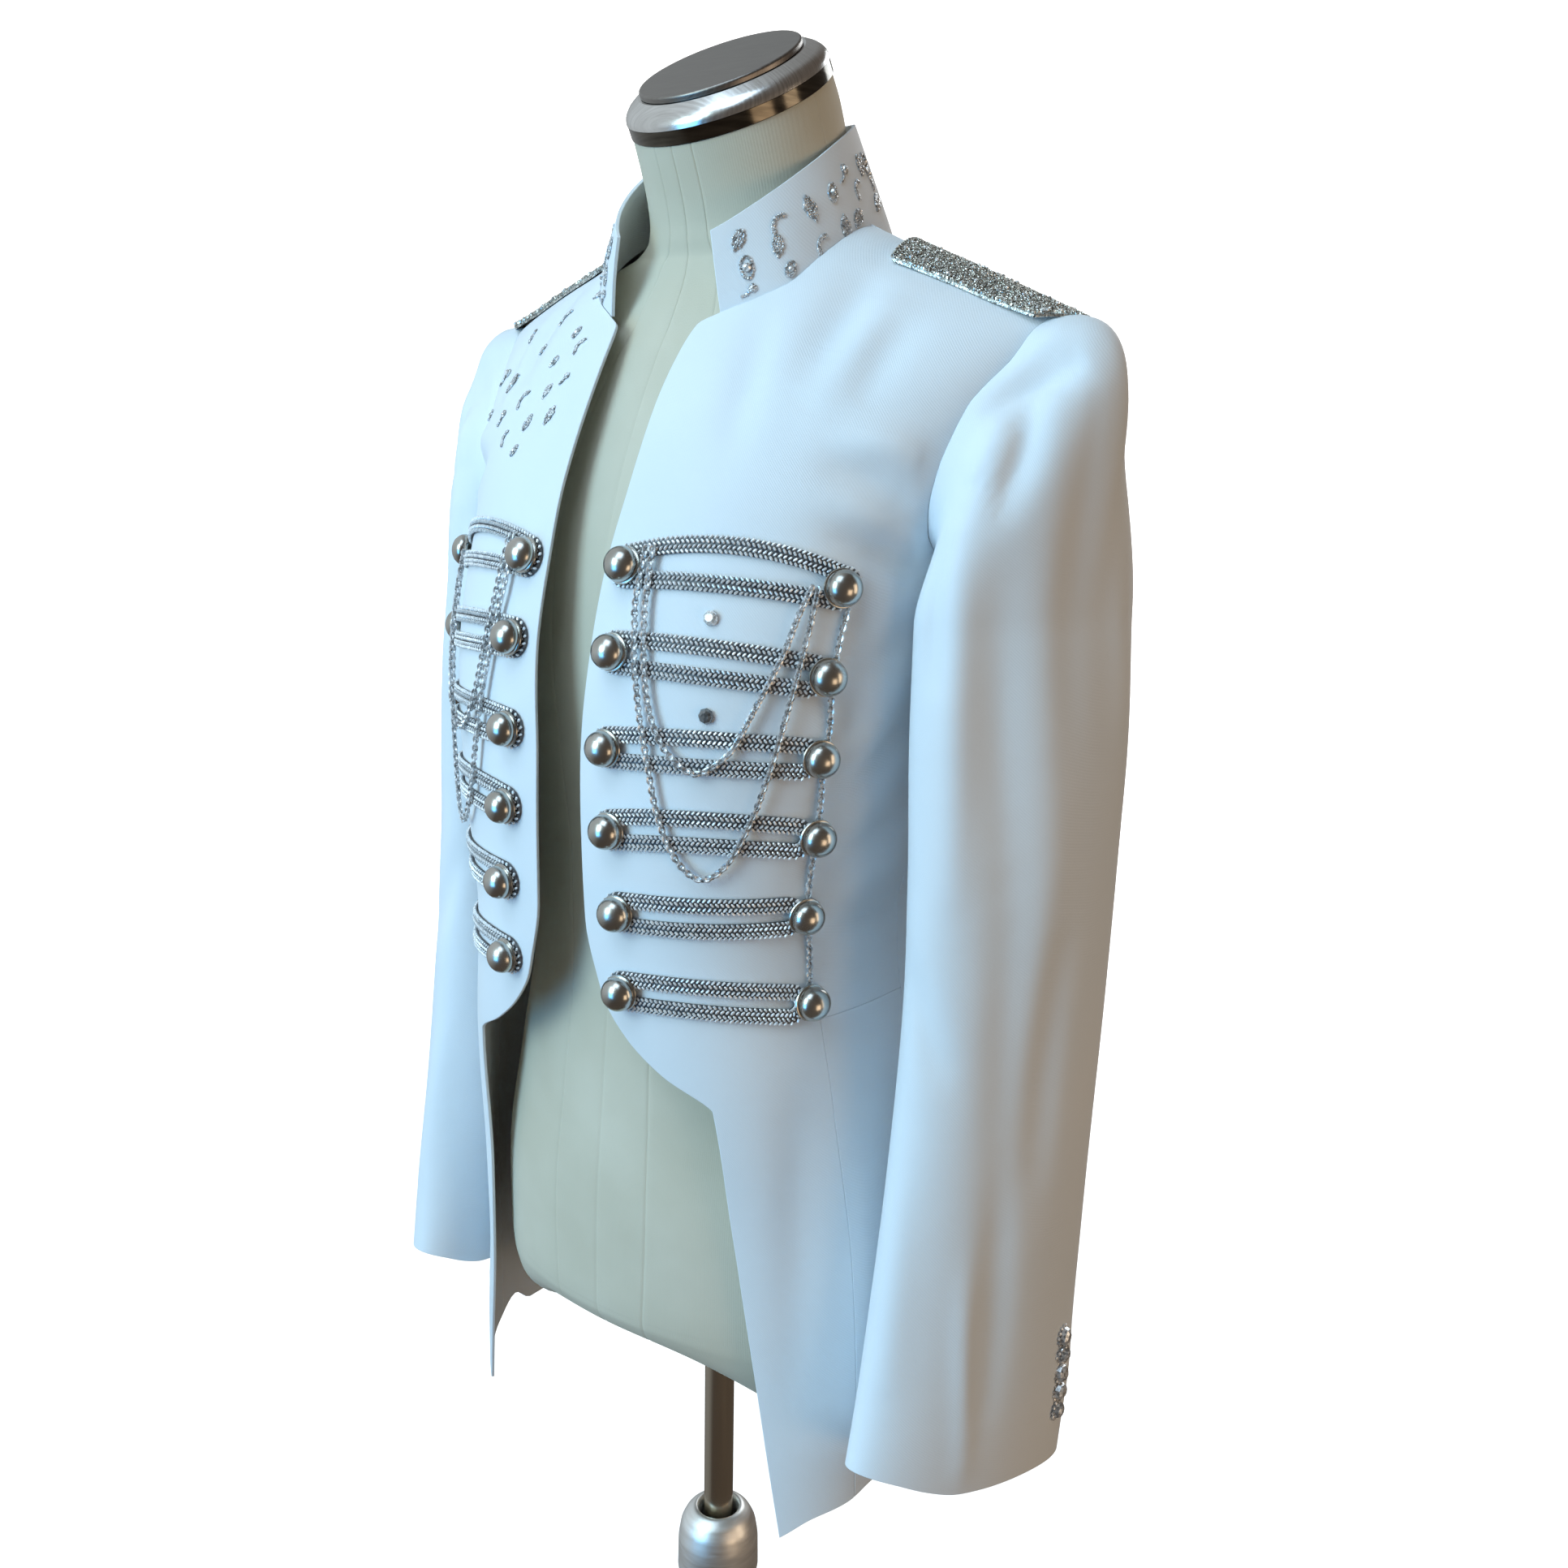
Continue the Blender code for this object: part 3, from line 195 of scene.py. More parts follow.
FRONT_ROWS = finer((
    *(1.375, 1.3715, 1.366, 1.358, 1.348, 1.3375, 1.330, 1.3245, 1.315, 1.305, 1.2925, 1.277, 1.260, 1.247),
    *(ARMPIT, 1.214, 1.193, 1.169, 1.144, 1.122, 1.101, 1.079, 1.058, 1.035, 1.013, WAIST_SEAM),
), 4)
CUTAWAY_ROWS = finer((WAIST_SEAM, 0.9836, 0.975, 0.9665, 0.959, 0.9521, CUTAWAY_CORNER), 3)[1:]
TAIL_ROWS = 40
EDGE_COLUMNS = 26
SIDE_COLUMNS = 14
BACK_ROWS = finer((
    *(1.375, 1.365, 1.355, 1.349, 1.346, 1.345, 1.338, 1.330, 1.310, 1.2925, 1.277, 1.260, 1.247, ARMPIT),
    *(1.20, 1.16, 1.12, 1.08, 1.04, 1.00, 0.96, 0.92, 0.86, 0.79),
), 4)
BACK_COLUMNS = 40

# Sleeves: a flattened tube, thin across and wide from front to back, whose front end turns inward.
SLEEVE = table(
    "height out back thin wide swing",
    (0.740, 0.1982, -0.0295, 0.0291, 0.0748, 17.9),
    (0.780, 0.1983, -0.0222, 0.0321, 0.0744, 16.8),
    (0.840, 0.1973, -0.0128, 0.0339, 0.0728, 15.3),
    (0.920, 0.1969, -0.0023, 0.0347, 0.0709, 14.2),
    (1.000, 0.1966, 0.0062, 0.0350, 0.0702, 13.9),
    (1.080, 0.1950, 0.0114, 0.0348, 0.0711, 15.0),
    (1.150, 0.1926, 0.0145, 0.0339, 0.0726, 16.2),
    (1.210, 0.1903, 0.0175, 0.0320, 0.0733, 15.7),
)
BICEPS = 1.21
CUFF = 0.745
CUFF_START = 0.90
CUFF_LINE = table(
    "back height",
    (-0.105, 0.764),
    (-0.090, 0.757),
    (-0.075, 0.749),
    (-0.060, 0.743),
    (0.000, 0.733),
    (0.050, 0.722),
)
SLEEVE_ROWS = finer((BICEPS, 1.15, 1.08, 1.00, 0.92, 0.84, 0.785, CUFF), 10)[1:]
SLEEVE_HEAD_ROWS = 36
SLEEVE_COLUMNS = 108
ARMHOLE_CENTRE = (0.016, 1.298)
UNDERARM_LIFT = 0.0003
UNDERARM_START = 0.1
UNDERARM_REACH = 0.6
# How far the sleeve's head runs out, and hangs, at the armpit and at the shoulder.
HEAD_FULLNESS = (0.022, 0.200)
HEAD_HANG = (0.031, 0.195)
HEAD_RISE = 0.024
HEAD_ROUNDING = 1.18

# Stand collar
COLLAR_WALL = 0.0022
COLLAR_TUCK = 0.001
COLLAR_BELLY = 0.0032
COLLAR_HALF_WIDTH = 0.0615
COLLAR_CENTRE = 0.004
COLLAR_FRONT = 0.0708
COLLAR_BACK = 0.0735
COLLAR_START = 32.7
COLLAR_ROWS = 15
COLLAR_TOP = table(
    "back height",
    (-0.0556, 1.4045),
    (-0.0365, 1.4205),
    (-0.0068, 1.4412),
    (0.0261, 1.4595),
    (0.0540, 1.4700),
    (0.0780, 1.4740),
)

# Epaulettes lie along the ridge of the shoulder.
EPAULETTE_INNER = 0.104
EPAULETTE_OUTER = 0.2080
EPAULETTE_STRAIGHT = 0.1640
EPAULETTE_INNER_FRONT = 0.0275
EPAULETTE_OUTER_FRONT = 0.0185
EPAULETTE_INNER_BACK = 0.020
EPAULETTE_OUTER_BACK = 0.012
EPAULETTE_SCALLOP = 0.004
EPAULETTE_SLANT = 0.020
EPAULETTE_ROWS = 61
EPAULETTE_COLUMNS = 31
EPAULETTE_PILE = 0.72
# How far inward the ridge is read for its slope there.
SLOPE_STEP = 0.02
# How far below the ridge its cloth is looked for, and in how many halvings.
SHOULDER_SEARCH = 0.018
HALVINGS = 40

# Six rows of looped braid. Places on a front are girth, round the body from its middle, and height.
FROGS = table(
    "inner inner_height outer outer_height upper_bow lower_bow",
    (0.0363, 1.2355, 0.1507, 1.2291, 0.0095, 0.0042),
    (0.0374, 1.1928, 0.1504, 1.1856, 0.0030, 0.0022),
    (0.0369, 1.1441, 0.1503, 1.1441, 0.0030, 0.0022),
    (0.0392, 1.1008, 0.1500, 1.1017, 0.0043, 0.0040),
    (0.0435, 1.0567, 0.1440, 1.0585, 0.0012, 0.0010),
    (0.0443, 1.0125, 0.1475, 1.0080, 0.0030, 0.0030),
)
# The fronts' chart of girth and height: each grid's start, end and step, and its turns' count.
CHART_HEIGHTS = (0.996, 1.266, 0.003)
CHART_GIRTHS = (0.012, 0.180, 0.002)
CHART_TURNS = (1.0, 95, 500)
CHART_PASSES = 8
RUN_STEPS = 60
BEND_STEPS = 13

# Chains, as girth and height along each one.
SHORT_SWAG = (
    *((0.0520, 1.2440), (0.0536, 1.2240), (0.0546, 1.2124), (0.0582, 1.1892), (0.0633, 1.1666)),
    *((0.0714, 1.1495), (0.0830, 1.1385), (0.0925, 1.1378), (0.1056, 1.1486), (0.1137, 1.1648)),
    *((0.1213, 1.1820), (0.1275, 1.1982), (0.1314, 1.2151), (0.1352, 1.2287)),
)
LONG_SWAG = (
    *((0.0483, 1.2440), (0.0480, 1.2200), (0.0500, 1.2065), (0.0527, 1.1892), (0.0575, 1.1657)),
    *((0.0630, 1.1414), (0.0690, 1.1135), (0.0782, 1.0918), (0.0907, 1.0815), (0.1036, 1.0900)),
    *((0.1150, 1.1117), (0.1225, 1.1324), (0.1290, 1.1558), (0.1344, 1.1829), (0.1375, 1.2058)),
    *((0.1386, 1.2280),),
)
DROP_CHAIN = (
    *((0.1566, 1.2172), (0.1554, 1.2064), (0.1550, 1.1960), (0.1540, 1.1856), (0.1548, 1.1748)),
    *((0.1557, 1.1621), (0.1550, 1.1530), (0.1532, 1.1441), (0.1530, 1.1324), (0.1530, 1.1216)),
    *((0.1520, 1.1117), (0.1510, 1.1017), (0.1493, 1.0900), (0.1475, 1.0774), (0.1466, 1.0680)),
    *((0.1466, 1.0585), (0.1475, 1.0467), (0.1480, 1.0300), (0.1480, 1.0150)),
)
SPAN_STEPS = 12

# The dress form, from its flat underside to the slanting top of its neck.
Ring = namedtuple("Ring", "height back half_width front_depth back_depth power tilt")
FORM = (
    Ring(0.8000, -0.010, 0.143, 0.104, 0.104, 2.1, 0.0),
    Ring(0.8600, -0.008, 0.141, 0.105, 0.102, 2.2, 0.0),
    Ring(0.9300, -0.005, 0.130, 0.102, 0.092, 2.2, 0.0),
    Ring(1.0000, -0.004, 0.117, 0.098, 0.082, 2.2, 0.0),
    Ring(1.0600, -0.005, 0.112, 0.098, 0.078, 2.2, 0.0),
    Ring(1.1300, -0.004, 0.124, 0.104, 0.086, 2.2, 0.0),
    Ring(1.1900, 0.000, 0.136, 0.108, 0.096, 2.3, 0.0),
    Ring(1.2300, 0.004, 0.144, 0.107, 0.098, 2.3, 0.0),
    Ring(1.2700, 0.012, 0.156, 0.104, 0.092, 2.2, 0.0),
    Ring(1.3100, 0.020, 0.166, 0.096, 0.084, 2.0, 0.0),
    Ring(1.3400, 0.027, 0.170, 0.088, 0.074, 1.8, 0.0),
    Ring(1.3620, 0.030, 0.158, 0.078, 0.066, 1.7, 0.0),
    Ring(1.3780, 0.030, 0.135, 0.070, 0.062, 1.7, 0.0),
    Ring(1.3900, 0.029, 0.104, 0.065, 0.050, 1.8, 0.0),
    Ring(1.4000, 0.027, 0.078, 0.062, 0.044, 1.9, 4.0),
    Ring(1.4120, 0.0235, 0.062, 0.060, 0.0530, 2.0, 9.0),
    Ring(1.4280, 0.0190, 0.0585, 0.058, 0.0590, 2.0, 16.0),
    Ring(1.4450, 0.0135, 0.0577, 0.0573, 0.0600, 2.0, 22.0),
    Ring(1.4620, 0.0068, 0.0573, 0.0571, 0.0605, 2.0, 26.0),
    Ring(1.4769, 0.0004, 0.0571, 0.0571, 0.0571, 2.0, 29.7),
)
FORM_COLUMNS = 120
# Its underside: each row is a smaller copy of the lowest ring, hung lower down. It has two lobes.
UNDERSIDE = ((0.11, 1.0), (0.22, 1.0), (0.42, 0.97), (0.62, 0.88), (0.80, 0.70), (0.93, 0.44), (0.985, 0.2))
UNDERSIDE_DEPTH = 0.083
LOBE_PLACE = 0.095
CROTCH = 0.45

# The neck's metal top: turned on an axis that leans forward, depths measured down from its plate.
CAP_TILT = 29.7
CAP_PLATE = (0.0, -0.0102, 1.4959)
PLATE_PROFILE = ((0.0455, 0.0), (0.0463, 0.0008), (0.0463, 0.0032))
CAP_PROFILE = ((0.0478, 0.0035), (0.0545, 0.0074), (0.0575, 0.0108), (0.0581, 0.0136))
BAND_PROFILE = ((0.0578, 0.0139), (0.0579, 0.0213))
CAP_SIDES = 128

# The stand, as radius and height.
POLE_RADIUS = 0.0097
POLE_BOTTOM = 0.560
HUB_PROFILE = (
    *((0.0225, 0.0123), (0.0225, 0.545), (0.0272, 0.548), (0.0268, 0.572), (0.0250, 0.583)),
    *((0.0215, 0.590), (0.0165, 0.5945), (0.0140, 0.5945), (0.0125, 0.589), (0.0125, 0.5597)),
)
BASE_PROFILE = ((0.166, 0.0), (0.170, 0.003), (0.170, 0.009), (0.167, 0.012))
STAND_SIDES = 128
POLE_RINGS = (0.64, 0.70)


def curve_through(rows, key, value):
    """A smooth function of one column of a table, with no overshoot, level outside the table."""
    x = np.array([getattr(row, key) for row in rows], float)
    y = np.array([getattr(row, value) for row in rows], float)
    step = np.diff(x)
    slope = np.diff(y) / step
    before, after = slope[:-1], slope[1:]
    same_way = before * after > 0
    middle = np.where(same_way, 2 * before * after / np.where(same_way, before + after, 1), 0)
    slopes = np.concatenate([slope[:1], middle, slope[-1:]])

    def at(places):
        t = np.clip(np.asarray(places, float), x[0], x[-1])
        i = np.clip(np.searchsorted(x, t) - 1, 0, len(step) - 1)
        s = (t - x[i]) / step[i]
        ends = (2 * s**3 - 3 * s**2 + 1) * y[i] + (3 * s**2 - 2 * s**3) * y[i + 1]
        pull = (s**3 - 2 * s**2 + s) * slopes[i] + (s**3 - s**2) * slopes[i + 1]
        return ends + pull * step[i]

    return at


half_width = curve_through(TRUNK, "height", "half_width")
front_depth = curve_through(TRUNK, "height", "front")
back_depth = curve_through(TRUNK, "height", "back")
ridge_front = curve_through(SHOULDERS, "out", "front")
ridge_back = curve_through(SHOULDERS, "out", "back")
edge_out = curve_through(FRONT_EDGE, "rise", "out")
back_neck_out = curve_through(BACK_NECK, "rise", "out")
front_armhole = curve_through(ARMHOLE, "rise", "front_turn")
back_armhole = curve_through(ARMHOLE, "rise", "back_turn")
hem_height = curve_through(HEM, "turn", "height")
collar_height = curve_through(COLLAR_TOP, "back", "height")
cuff_height = curve_through(CUFF_LINE, "back", "height")


def cloth(turn, rise):
    """A point on the jacket's outside.

    turn is 0 at the middle of the front, 90 at the side and 180 at the middle of the back. rise is
    the height, up to LEVEL. Above that each row of equal rise climbs towards the shoulder's ridge.
    """
    turn, rise = np.broadcast_arrays(np.asarray(turn, float), np.asarray(rise, float))
    t = np.radians(turn)
    behind = turn > 90
    power = np.where(behind, BACK_POWER, FRONT_POWER)
    out = half_width(rise) * np.abs(np.sin(t)) ** (2 / power)
    share = np.abs(np.cos(t)) ** (2 / power)
    ridge = np.where(behind, ridge_back(out), ridge_front(out))
    climb = np.clip((rise - LEVEL) / (TIP - LEVEL), 0, 1)
    z = np.where(rise > LEVEL, LEVEL + (ridge - LEVEL) * climb, rise)
    drop = np.maximum(ridge - z, 0)
    front_share = (1 - (1 - np.minimum(drop / FRONT_DROP, 1)) ** 2) ** FRONT_ROUND
    back_share = (1 - (1 - np.minimum(drop / BACK_DROP, 1)) ** 2) ** BACK_ROUND
    middle = RIDGE * (1 - front_share)
    front_y = middle - front_depth(rise) * share * front_share
    back_y = middle + back_depth(rise) * share * back_share
    return np.stack([out, np.where(behind, back_y, front_y), z], -1)


def unit(vectors):
    return vectors / np.linalg.norm(vectors, axis=-1, keepdims=True)


def run_along(points):
    """How far along its line each of these points is."""
    return np.concatenate([[0], np.cumsum(np.linalg.norm(np.diff(points, axis=0), axis=1))])


def read_line(places, run, points):
    """The points at these places along a line whose own points lie at this run."""
    return np.stack([np.interp(places, run, values) for values in points.T], -1)


def read_grid(grid, rows, columns):
    """The values of a grid at places between its points."""
    i = np.clip(rows.astype(int), 0, grid.shape[0] - 2)
    j = np.clip(columns.astype(int), 0, grid.shape[1] - 2)
    a, b = (rows - i)[:, None], (columns - j)[:, None]
    low = grid[i, j] * (1 - b) + grid[i, j + 1] * b
    high = grid[i + 1, j] * (1 - b) + grid[i + 1, j + 1] * b
    return low * (1 - a) + high * a


def cloth_normal(turn, rise):
    """The outward direction there. Panels that meet at a seam get the same one."""
    turn, rise = np.broadcast_arrays(np.asarray(turn, float), np.asarray(rise, float))
    round_body = cloth(np.minimum(turn + 0.2, 180), rise) - cloth(turn - 0.2, rise)
    upward = cloth(turn, np.minimum(rise + STEP / 2, TIP)) - cloth(turn, rise - STEP / 2)
    normal = np.cross(round_body, upward)
    normal[turn > 179.9, 0] = 0
    on_ridge = rise > TIP - 1e-6
    out = cloth(turn, rise)[..., 0]
    slope = (ridge_front(out + STEP) - ridge_front(out - STEP)) / (2 * STEP)
    level = np.stack([-slope, np.zeros_like(slope), np.ones_like(slope)], -1)
    return unit(np.where(on_ridge[..., None], level, normal))


def turn_at(out, rise):
    """The turn, on the front, of the point this far from the middle."""
    share = np.minimum(out / half_width(rise), 1)
    return np.degrees(np.arcsin(share ** (FRONT_POWER / 2)))


def back_turn_at(out, rise):
    share = np.minimum(out / half_width(rise), 1)
    return 180 - np.degrees(np.arcsin(share ** (BACK_POWER / 2)))


def turns_between(start, end, rise, count):
    """count + 1 turns, evenly spaced along the cloth."""
    fine = np.linspace(start, end, FINE_TURNS)
    run = run_along(cloth(fine, rise))
    return np.interp(np.linspace(0, run[-1], count + 1), run, fine)


# Folds, placed one by one: negative depths are troughs, positive ones are ridges. Places are on the cloth.
BODY_FOLDS = table(
    "depth width route",
    (-0.0032, 0.010, ((0.122, -0.082, 1.290), (0.1407, -0.0621, 1.283), (0.154, -0.0339, 1.262))),
    (0.0022, 0.009, ((0.128, -0.075, 1.304), (0.148, -0.050, 1.298), (0.160, -0.030, 1.285))),
    (-0.0028, 0.009, ((0.128, -0.078, 1.258), (0.1452, -0.0498, 1.2422), (0.152, -0.030, 1.225))),
    (0.0018, 0.008, ((0.131, -0.072, 1.272), (0.147, -0.046, 1.258), (0.153, -0.030, 1.243))),
    (-0.0026, 0.013, ((0.1034, -0.0047, 1.3871), (0.106, -0.034, 1.362), (0.1027, -0.0641, 1.3247))),
    (-0.0020, 0.011, ((0.140, -0.018, 1.366), (0.133, -0.034, 1.3492), (0.128, -0.058, 1.318))),
    (0.0016, 0.012, ((0.121, -0.012, 1.376), (0.119, -0.038, 1.352), (0.113, -0.066, 1.314))),
    (-0.0018, 0.010, ((0.066, -0.050, 1.372), (0.074, -0.072, 1.338), (0.077, -0.094, 1.290))),
    (-0.0026, 0.009, ((0.1461, -0.0311, 1.205), (0.1404, -0.0613, 1.1854), (0.128, -0.088, 1.170))),
    (-0.0024, 0.010, ((0.1429, -0.0162, 1.160), (0.1369, -0.0537, 1.1286), (0.123, -0.085, 1.110))),
    (0.0018, 0.009, ((0.1445, -0.0262, 1.180), (0.1380, -0.0560, 1.152), (0.126, -0.084, 1.138))),
    (-0.0028, 0.009, ((0.1372, -0.0049, 1.110), (0.1335, -0.0471, 1.0915), (0.120, -0.082, 1.080))),
    (-0.0022, 0.008, ((0.130, 0.012, 1.052), (0.128, -0.046, 1.046), (0.114, -0.084, 1.050))),
    (0.0016, 0.008, ((0.134, 0.004, 1.078), (0.131, -0.046, 1.068), (0.118, -0.082, 1.064))),
    (-0.0022, 0.014, ((0.118, -0.084, 0.975), (0.124, -0.082, 0.880), (0.127, -0.084, 0.760))),
    (0.0022, 0.015, ((0.141, -0.050, 0.960), (0.149, -0.050, 0.850), (0.152, -0.048, 0.740))),
    (-0.0026, 0.014, ((0.147, -0.010, 0.965), (0.153, -0.010, 0.850), (0.155, -0.006, 0.730))),
    (-0.0026, 0.010, ((0.128, 0.040, 1.090), (0.100, 0.078, 1.070), (0.050, 0.092, 1.062))),
    (-0.0022, 0.009, ((0.126, 0.034, 1.040), (0.090, 0.076, 1.034), (0.030, 0.092, 1.036))),
    (0.0016, 0.009, ((0.128, 0.034, 1.066), (0.092, 0.078, 1.052), (0.036, 0.093, 1.050))),
    (-0.0024, 0.012, ((0.134, 0.060, 1.190), (0.112, 0.090, 1.225), (0.100, 0.100, 1.290))),
    (-0.0020, 0.011, ((0.030, 0.100, 1.330), (0.060, 0.098, 1.300), (0.085, 0.100, 1.240))),
    (0.0020, 0.016, ((0.100, 0.088, 0.990), (0.112, 0.098, 0.860), (0.116, 0.104, 0.730))),
    (-0.0024, 0.015, ((0.060, 0.098, 0.980), (0.066, 0.114, 0.860), (0.068, 0.119, 0.725))),
)
SLEEVE_FOLDS = table(
    "depth width route",
    (-0.0042, 0.010, (
        (0.2211, 0.0124, 1.3424), (0.210, 0.001, 1.336),
        (0.1945, -0.010, 1.326), (0.1764, -0.0193, 1.3144),
    )),
    (-0.0040, 0.009, (
        (0.2056, -0.0064, 1.3273), (0.2041, -0.0145, 1.3164),
        (0.2057, -0.0244, 1.2938), (0.1994, -0.0363, 1.2648),
    )),
    (0.0022, 0.009, (
        (0.2106, 0.0143, 1.3534), (0.1926, 0.0089, 1.3483),
        (0.1802, -0.0055, 1.3323), (0.1723, -0.0182, 1.3163),
    )),
    (0.0018, 0.010, ((0.197, -0.020, 1.312), (0.191, -0.0269, 1.2996), (0.1866, -0.0354, 1.2797))),
    (-0.0021, 0.014, (
        (0.2034, -0.0322, 1.262), (0.2036, -0.0311, 1.2174),
        (0.2077, -0.0312, 1.1609), (0.215, -0.029, 1.06),
    )),
    (-0.0018, 0.015, ((0.2165, -0.030, 1.100), (0.2193, -0.0319, 0.990), (0.2215, -0.0350, 0.890))),
    (-0.0022, 0.011, (
        (0.2226, -0.0355, 0.920), (0.2236, -0.0379, 0.854),
        (0.2235, -0.0433, 0.8052), (0.2229, -0.0472, 0.7746),
    )),
    (0.0017, 0.007, (
        (0.2146, -0.0531, 0.8767), (0.2157, -0.0551, 0.8412),
        (0.2185, -0.0557, 0.7923), (0.2191, -0.0561, 0.7451),
    )),
    (0.0012, 0.014, (
        (0.2171, -0.0131, 1.296), (0.217, -0.0036, 1.2161),
        (0.2241, -0.0032, 1.1165), (0.2278, -0.0142, 0.964),
    )),
    (-0.0013, 0.012, ((0.2231, 0.0092, 1.330), (0.2251, 0.0052, 1.240), (0.2261, 0.0018, 1.1158))),
    (-0.0022, 0.012, ((0.228, 0.004, 1.060), (0.2296, -0.0067, 0.985), (0.229, -0.012, 0.900))),
    (-0.0030, 0.010, ((0.1759, -0.0482, 1.262), (0.1759, -0.052, 1.225), (0.178, -0.053, 1.170))),
    (0.0024, 0.010, (
        (0.185, -0.047, 1.255), (0.187, -0.050, 1.200), (0.190, -0.050, 1.130), (0.194, -0.052, 1.060),
    )),
    (-0.0030, 0.012, ((0.196, 0.070, 1.300), (0.204, 0.078, 1.230), (0.206, 0.080, 1.140))),
    (-0.0028, 0.012, ((0.186, 0.076, 1.080), (0.196, 0.074, 1.010), (0.208, 0.062, 0.940))),
    (0.0024, 0.012, ((0.222, 0.040, 1.280), (0.224, 0.052, 1.190), (0.222, 0.056, 1.100))),
    (-0.0026, 0.011, ((0.168, -0.010, 1.120), (0.165, 0.010, 1.080), (0.168, 0.034, 1.040))),
    (-0.0026, 0.011, ((0.166, -0.024, 1.020), (0.163, 0.000, 0.990), (0.168, 0.030, 0.960))),
    (-0.0024, 0.010, ((0.174, -0.060, 1.040), (0.186, -0.066, 1.010), (0.202, -0.062, 0.975))),
    (0.0018, 0.011, ((0.178, -0.074, 0.930), (0.184, -0.080, 0.880), (0.188, -0.090, 0.800))),
    (0.0011, 0.006, ((0.2340, 0.0320, 0.826), (0.2345, 0.0300, 0.790), (0.2335, 0.0280, 0.752))),
)
# The right side has the same folds, a little shallower and lower.
RIGHT_SHARE = 0.88
RIGHT_DROP = 0.006
FOLD_DEPTH = 1.6
SEAM_FADE = 0.016
CUFF_FADE = 0.030
CUFF_FADE_END = 0.72

# Small rounded rims along the cloth's cut and turned edges.
RIM_ROUNDING = 0.0004

# The camera, as place and turns in degrees, with its focal length in the photograph's pixels.
CAMERA_PLACE = (0.597, -0.711, 1.316)
CAMERA_YAW = 37.82
CAMERA_PITCH = 13.39
CAMERA_ROLL = 1.02
PHOTO_SIDE = 1932
FOCAL_PIXELS = 1950
SENSOR = 36.0


# Materials


class Look:
    """A material with its shader, and short ways to add texture in object coordinates."""

    def __init__(self, name, color, roughness, metallic=0.0, fixed=()):
        self.material = bpy.data.materials.new(name)
        self.material.use_nodes = True
        self.nodes = self.material.node_tree.nodes
        self.link = self.material.node_tree.links.new
        self.shader = self.nodes["Principled BSDF"]
        self.shader.inputs["Base Color"].default_value = (*color, 1)
        self.shader.inputs["Roughness"].default_value = roughness
        self.shader.inputs["Metallic"].default_value = metallic
        for key, value in fixed:
            self.shader.inputs[key].default_value = value
        self.place = self.nodes.new("ShaderNodeTexCoord").outputs["Object"]
        self.last_bump = None

    def stretched(self, scale, turn=(0, 0, 0)):
        node = self.nodes.new("ShaderNodeMapping")
        node.inputs["Scale"].default_value = scale
        node.inputs["Rotation"].default_value = [radians(angle) for angle in turn]
        self.link(self.place, node.inputs["Vector"])
        return node.outputs["Vector"]

    def noise(self, scale, detail=3.0, place=None):
        node = self.nodes.new("ShaderNodeTexNoise")
        node.inputs["Scale"].default_value = scale
        node.inputs["Detail"].default_value = detail
        self.link(place or self.place, node.inputs["Vector"])
        return node.outputs["Fac"]

    def cells(self, scale, output="Color"):
        node = self.nodes.new("ShaderNodeTexVoronoi")
        node.inputs["Scale"].default_value = scale
        self.link(self.place, node.inputs["Vector"])
        return node.outputs[output]

    def bands(self, period, turn):
        node = self.nodes.new("ShaderNodeTexWave")
        node.inputs["Scale"].default_value = 2 * np.pi / (20 * period)
        self.link(self.stretched((1, 1, 1), turn), node.inputs["Vector"])
        return node.outputs["Fac"]

    def ramp(self, value, *stops):
        node = self.nodes.new("ShaderNodeValToRGB")
        marks = node.color_ramp.elements
        while len(marks) < len(stops):
            marks.new(0.5)
        for mark, (place, color) in zip(marks, stops):
            mark.position = place
            mark.color = (*color, 1) if len(color) == 3 else color
        self.link(value, node.inputs["Fac"])
        return node.outputs["Color"]

    def spread(self, value, low, high):
        node = self.nodes.new("ShaderNodeMapRange")
        node.inputs["To Min"].default_value = low
        node.inputs["To Max"].default_value = high
        self.link(value, node.inputs["Value"])
        return node.outputs["Result"]

    def color(self, value):
        self.link(value, self.shader.inputs["Base Color"])
        return self

    def rough(self, value):
        self.link(value, self.shader.inputs["Roughness"])
        return self

    def bump(self, value, depth, strength=1.0):
        node = self.nodes.new("ShaderNodeBump")
        node.inputs["Distance"].default_value = depth
        node.inputs["Strength"].default_value = strength
        self.link(value, node.inputs["Height"])
        if self.last_bump:
            self.link(self.last_bump, node.inputs["Normal"])
        self.last_bump = node.outputs["Normal"]
        self.link(self.last_bump, self.shader.inputs["Normal"])
        return self


def cloth_look():
    """Fine white twill with a soft nap."""
    sheen = (("Sheen Weight", 0.22), ("Sheen Roughness", 0.45))
    look = Look("white_cloth", (0.80, 0.86, 0.91), 0.72, 0.0, sheen)
    look.color(look.ramp(look.noise(9, 2), (0.35, (0.775, 0.835, 0.885)), (0.65, (0.815, 0.868, 0.915))))
    look.rough(look.spread(look.noise(60), 0.66, 0.80))
    look.bump(look.noise(28, 2), 0.0006, 0.5)
    look.bump(look.bands(0.0009, (0, 38, 0)), 0.00006, 0.5)
    return look.bump(look.noise(1500, 2), 0.00010, 0.5).material


def linen_look():
    """The stretched cream cloth of the form."""
    look = Look("form_cloth", (0.62, 0.58, 0.46), 0.82, 0.0, (("Sheen Weight", 0.15),))
    look.color(look.ramp(look.noise(14), (0.3, (0.59, 0.55, 0.43)), (0.7, (0.66, 0.62, 0.50))))
    look.bump(look.bands(0.0011, (0, 0, 0)), 0.00008, 0.5)
    return look.bump(look.noise(900), 0.00012, 0.6).material


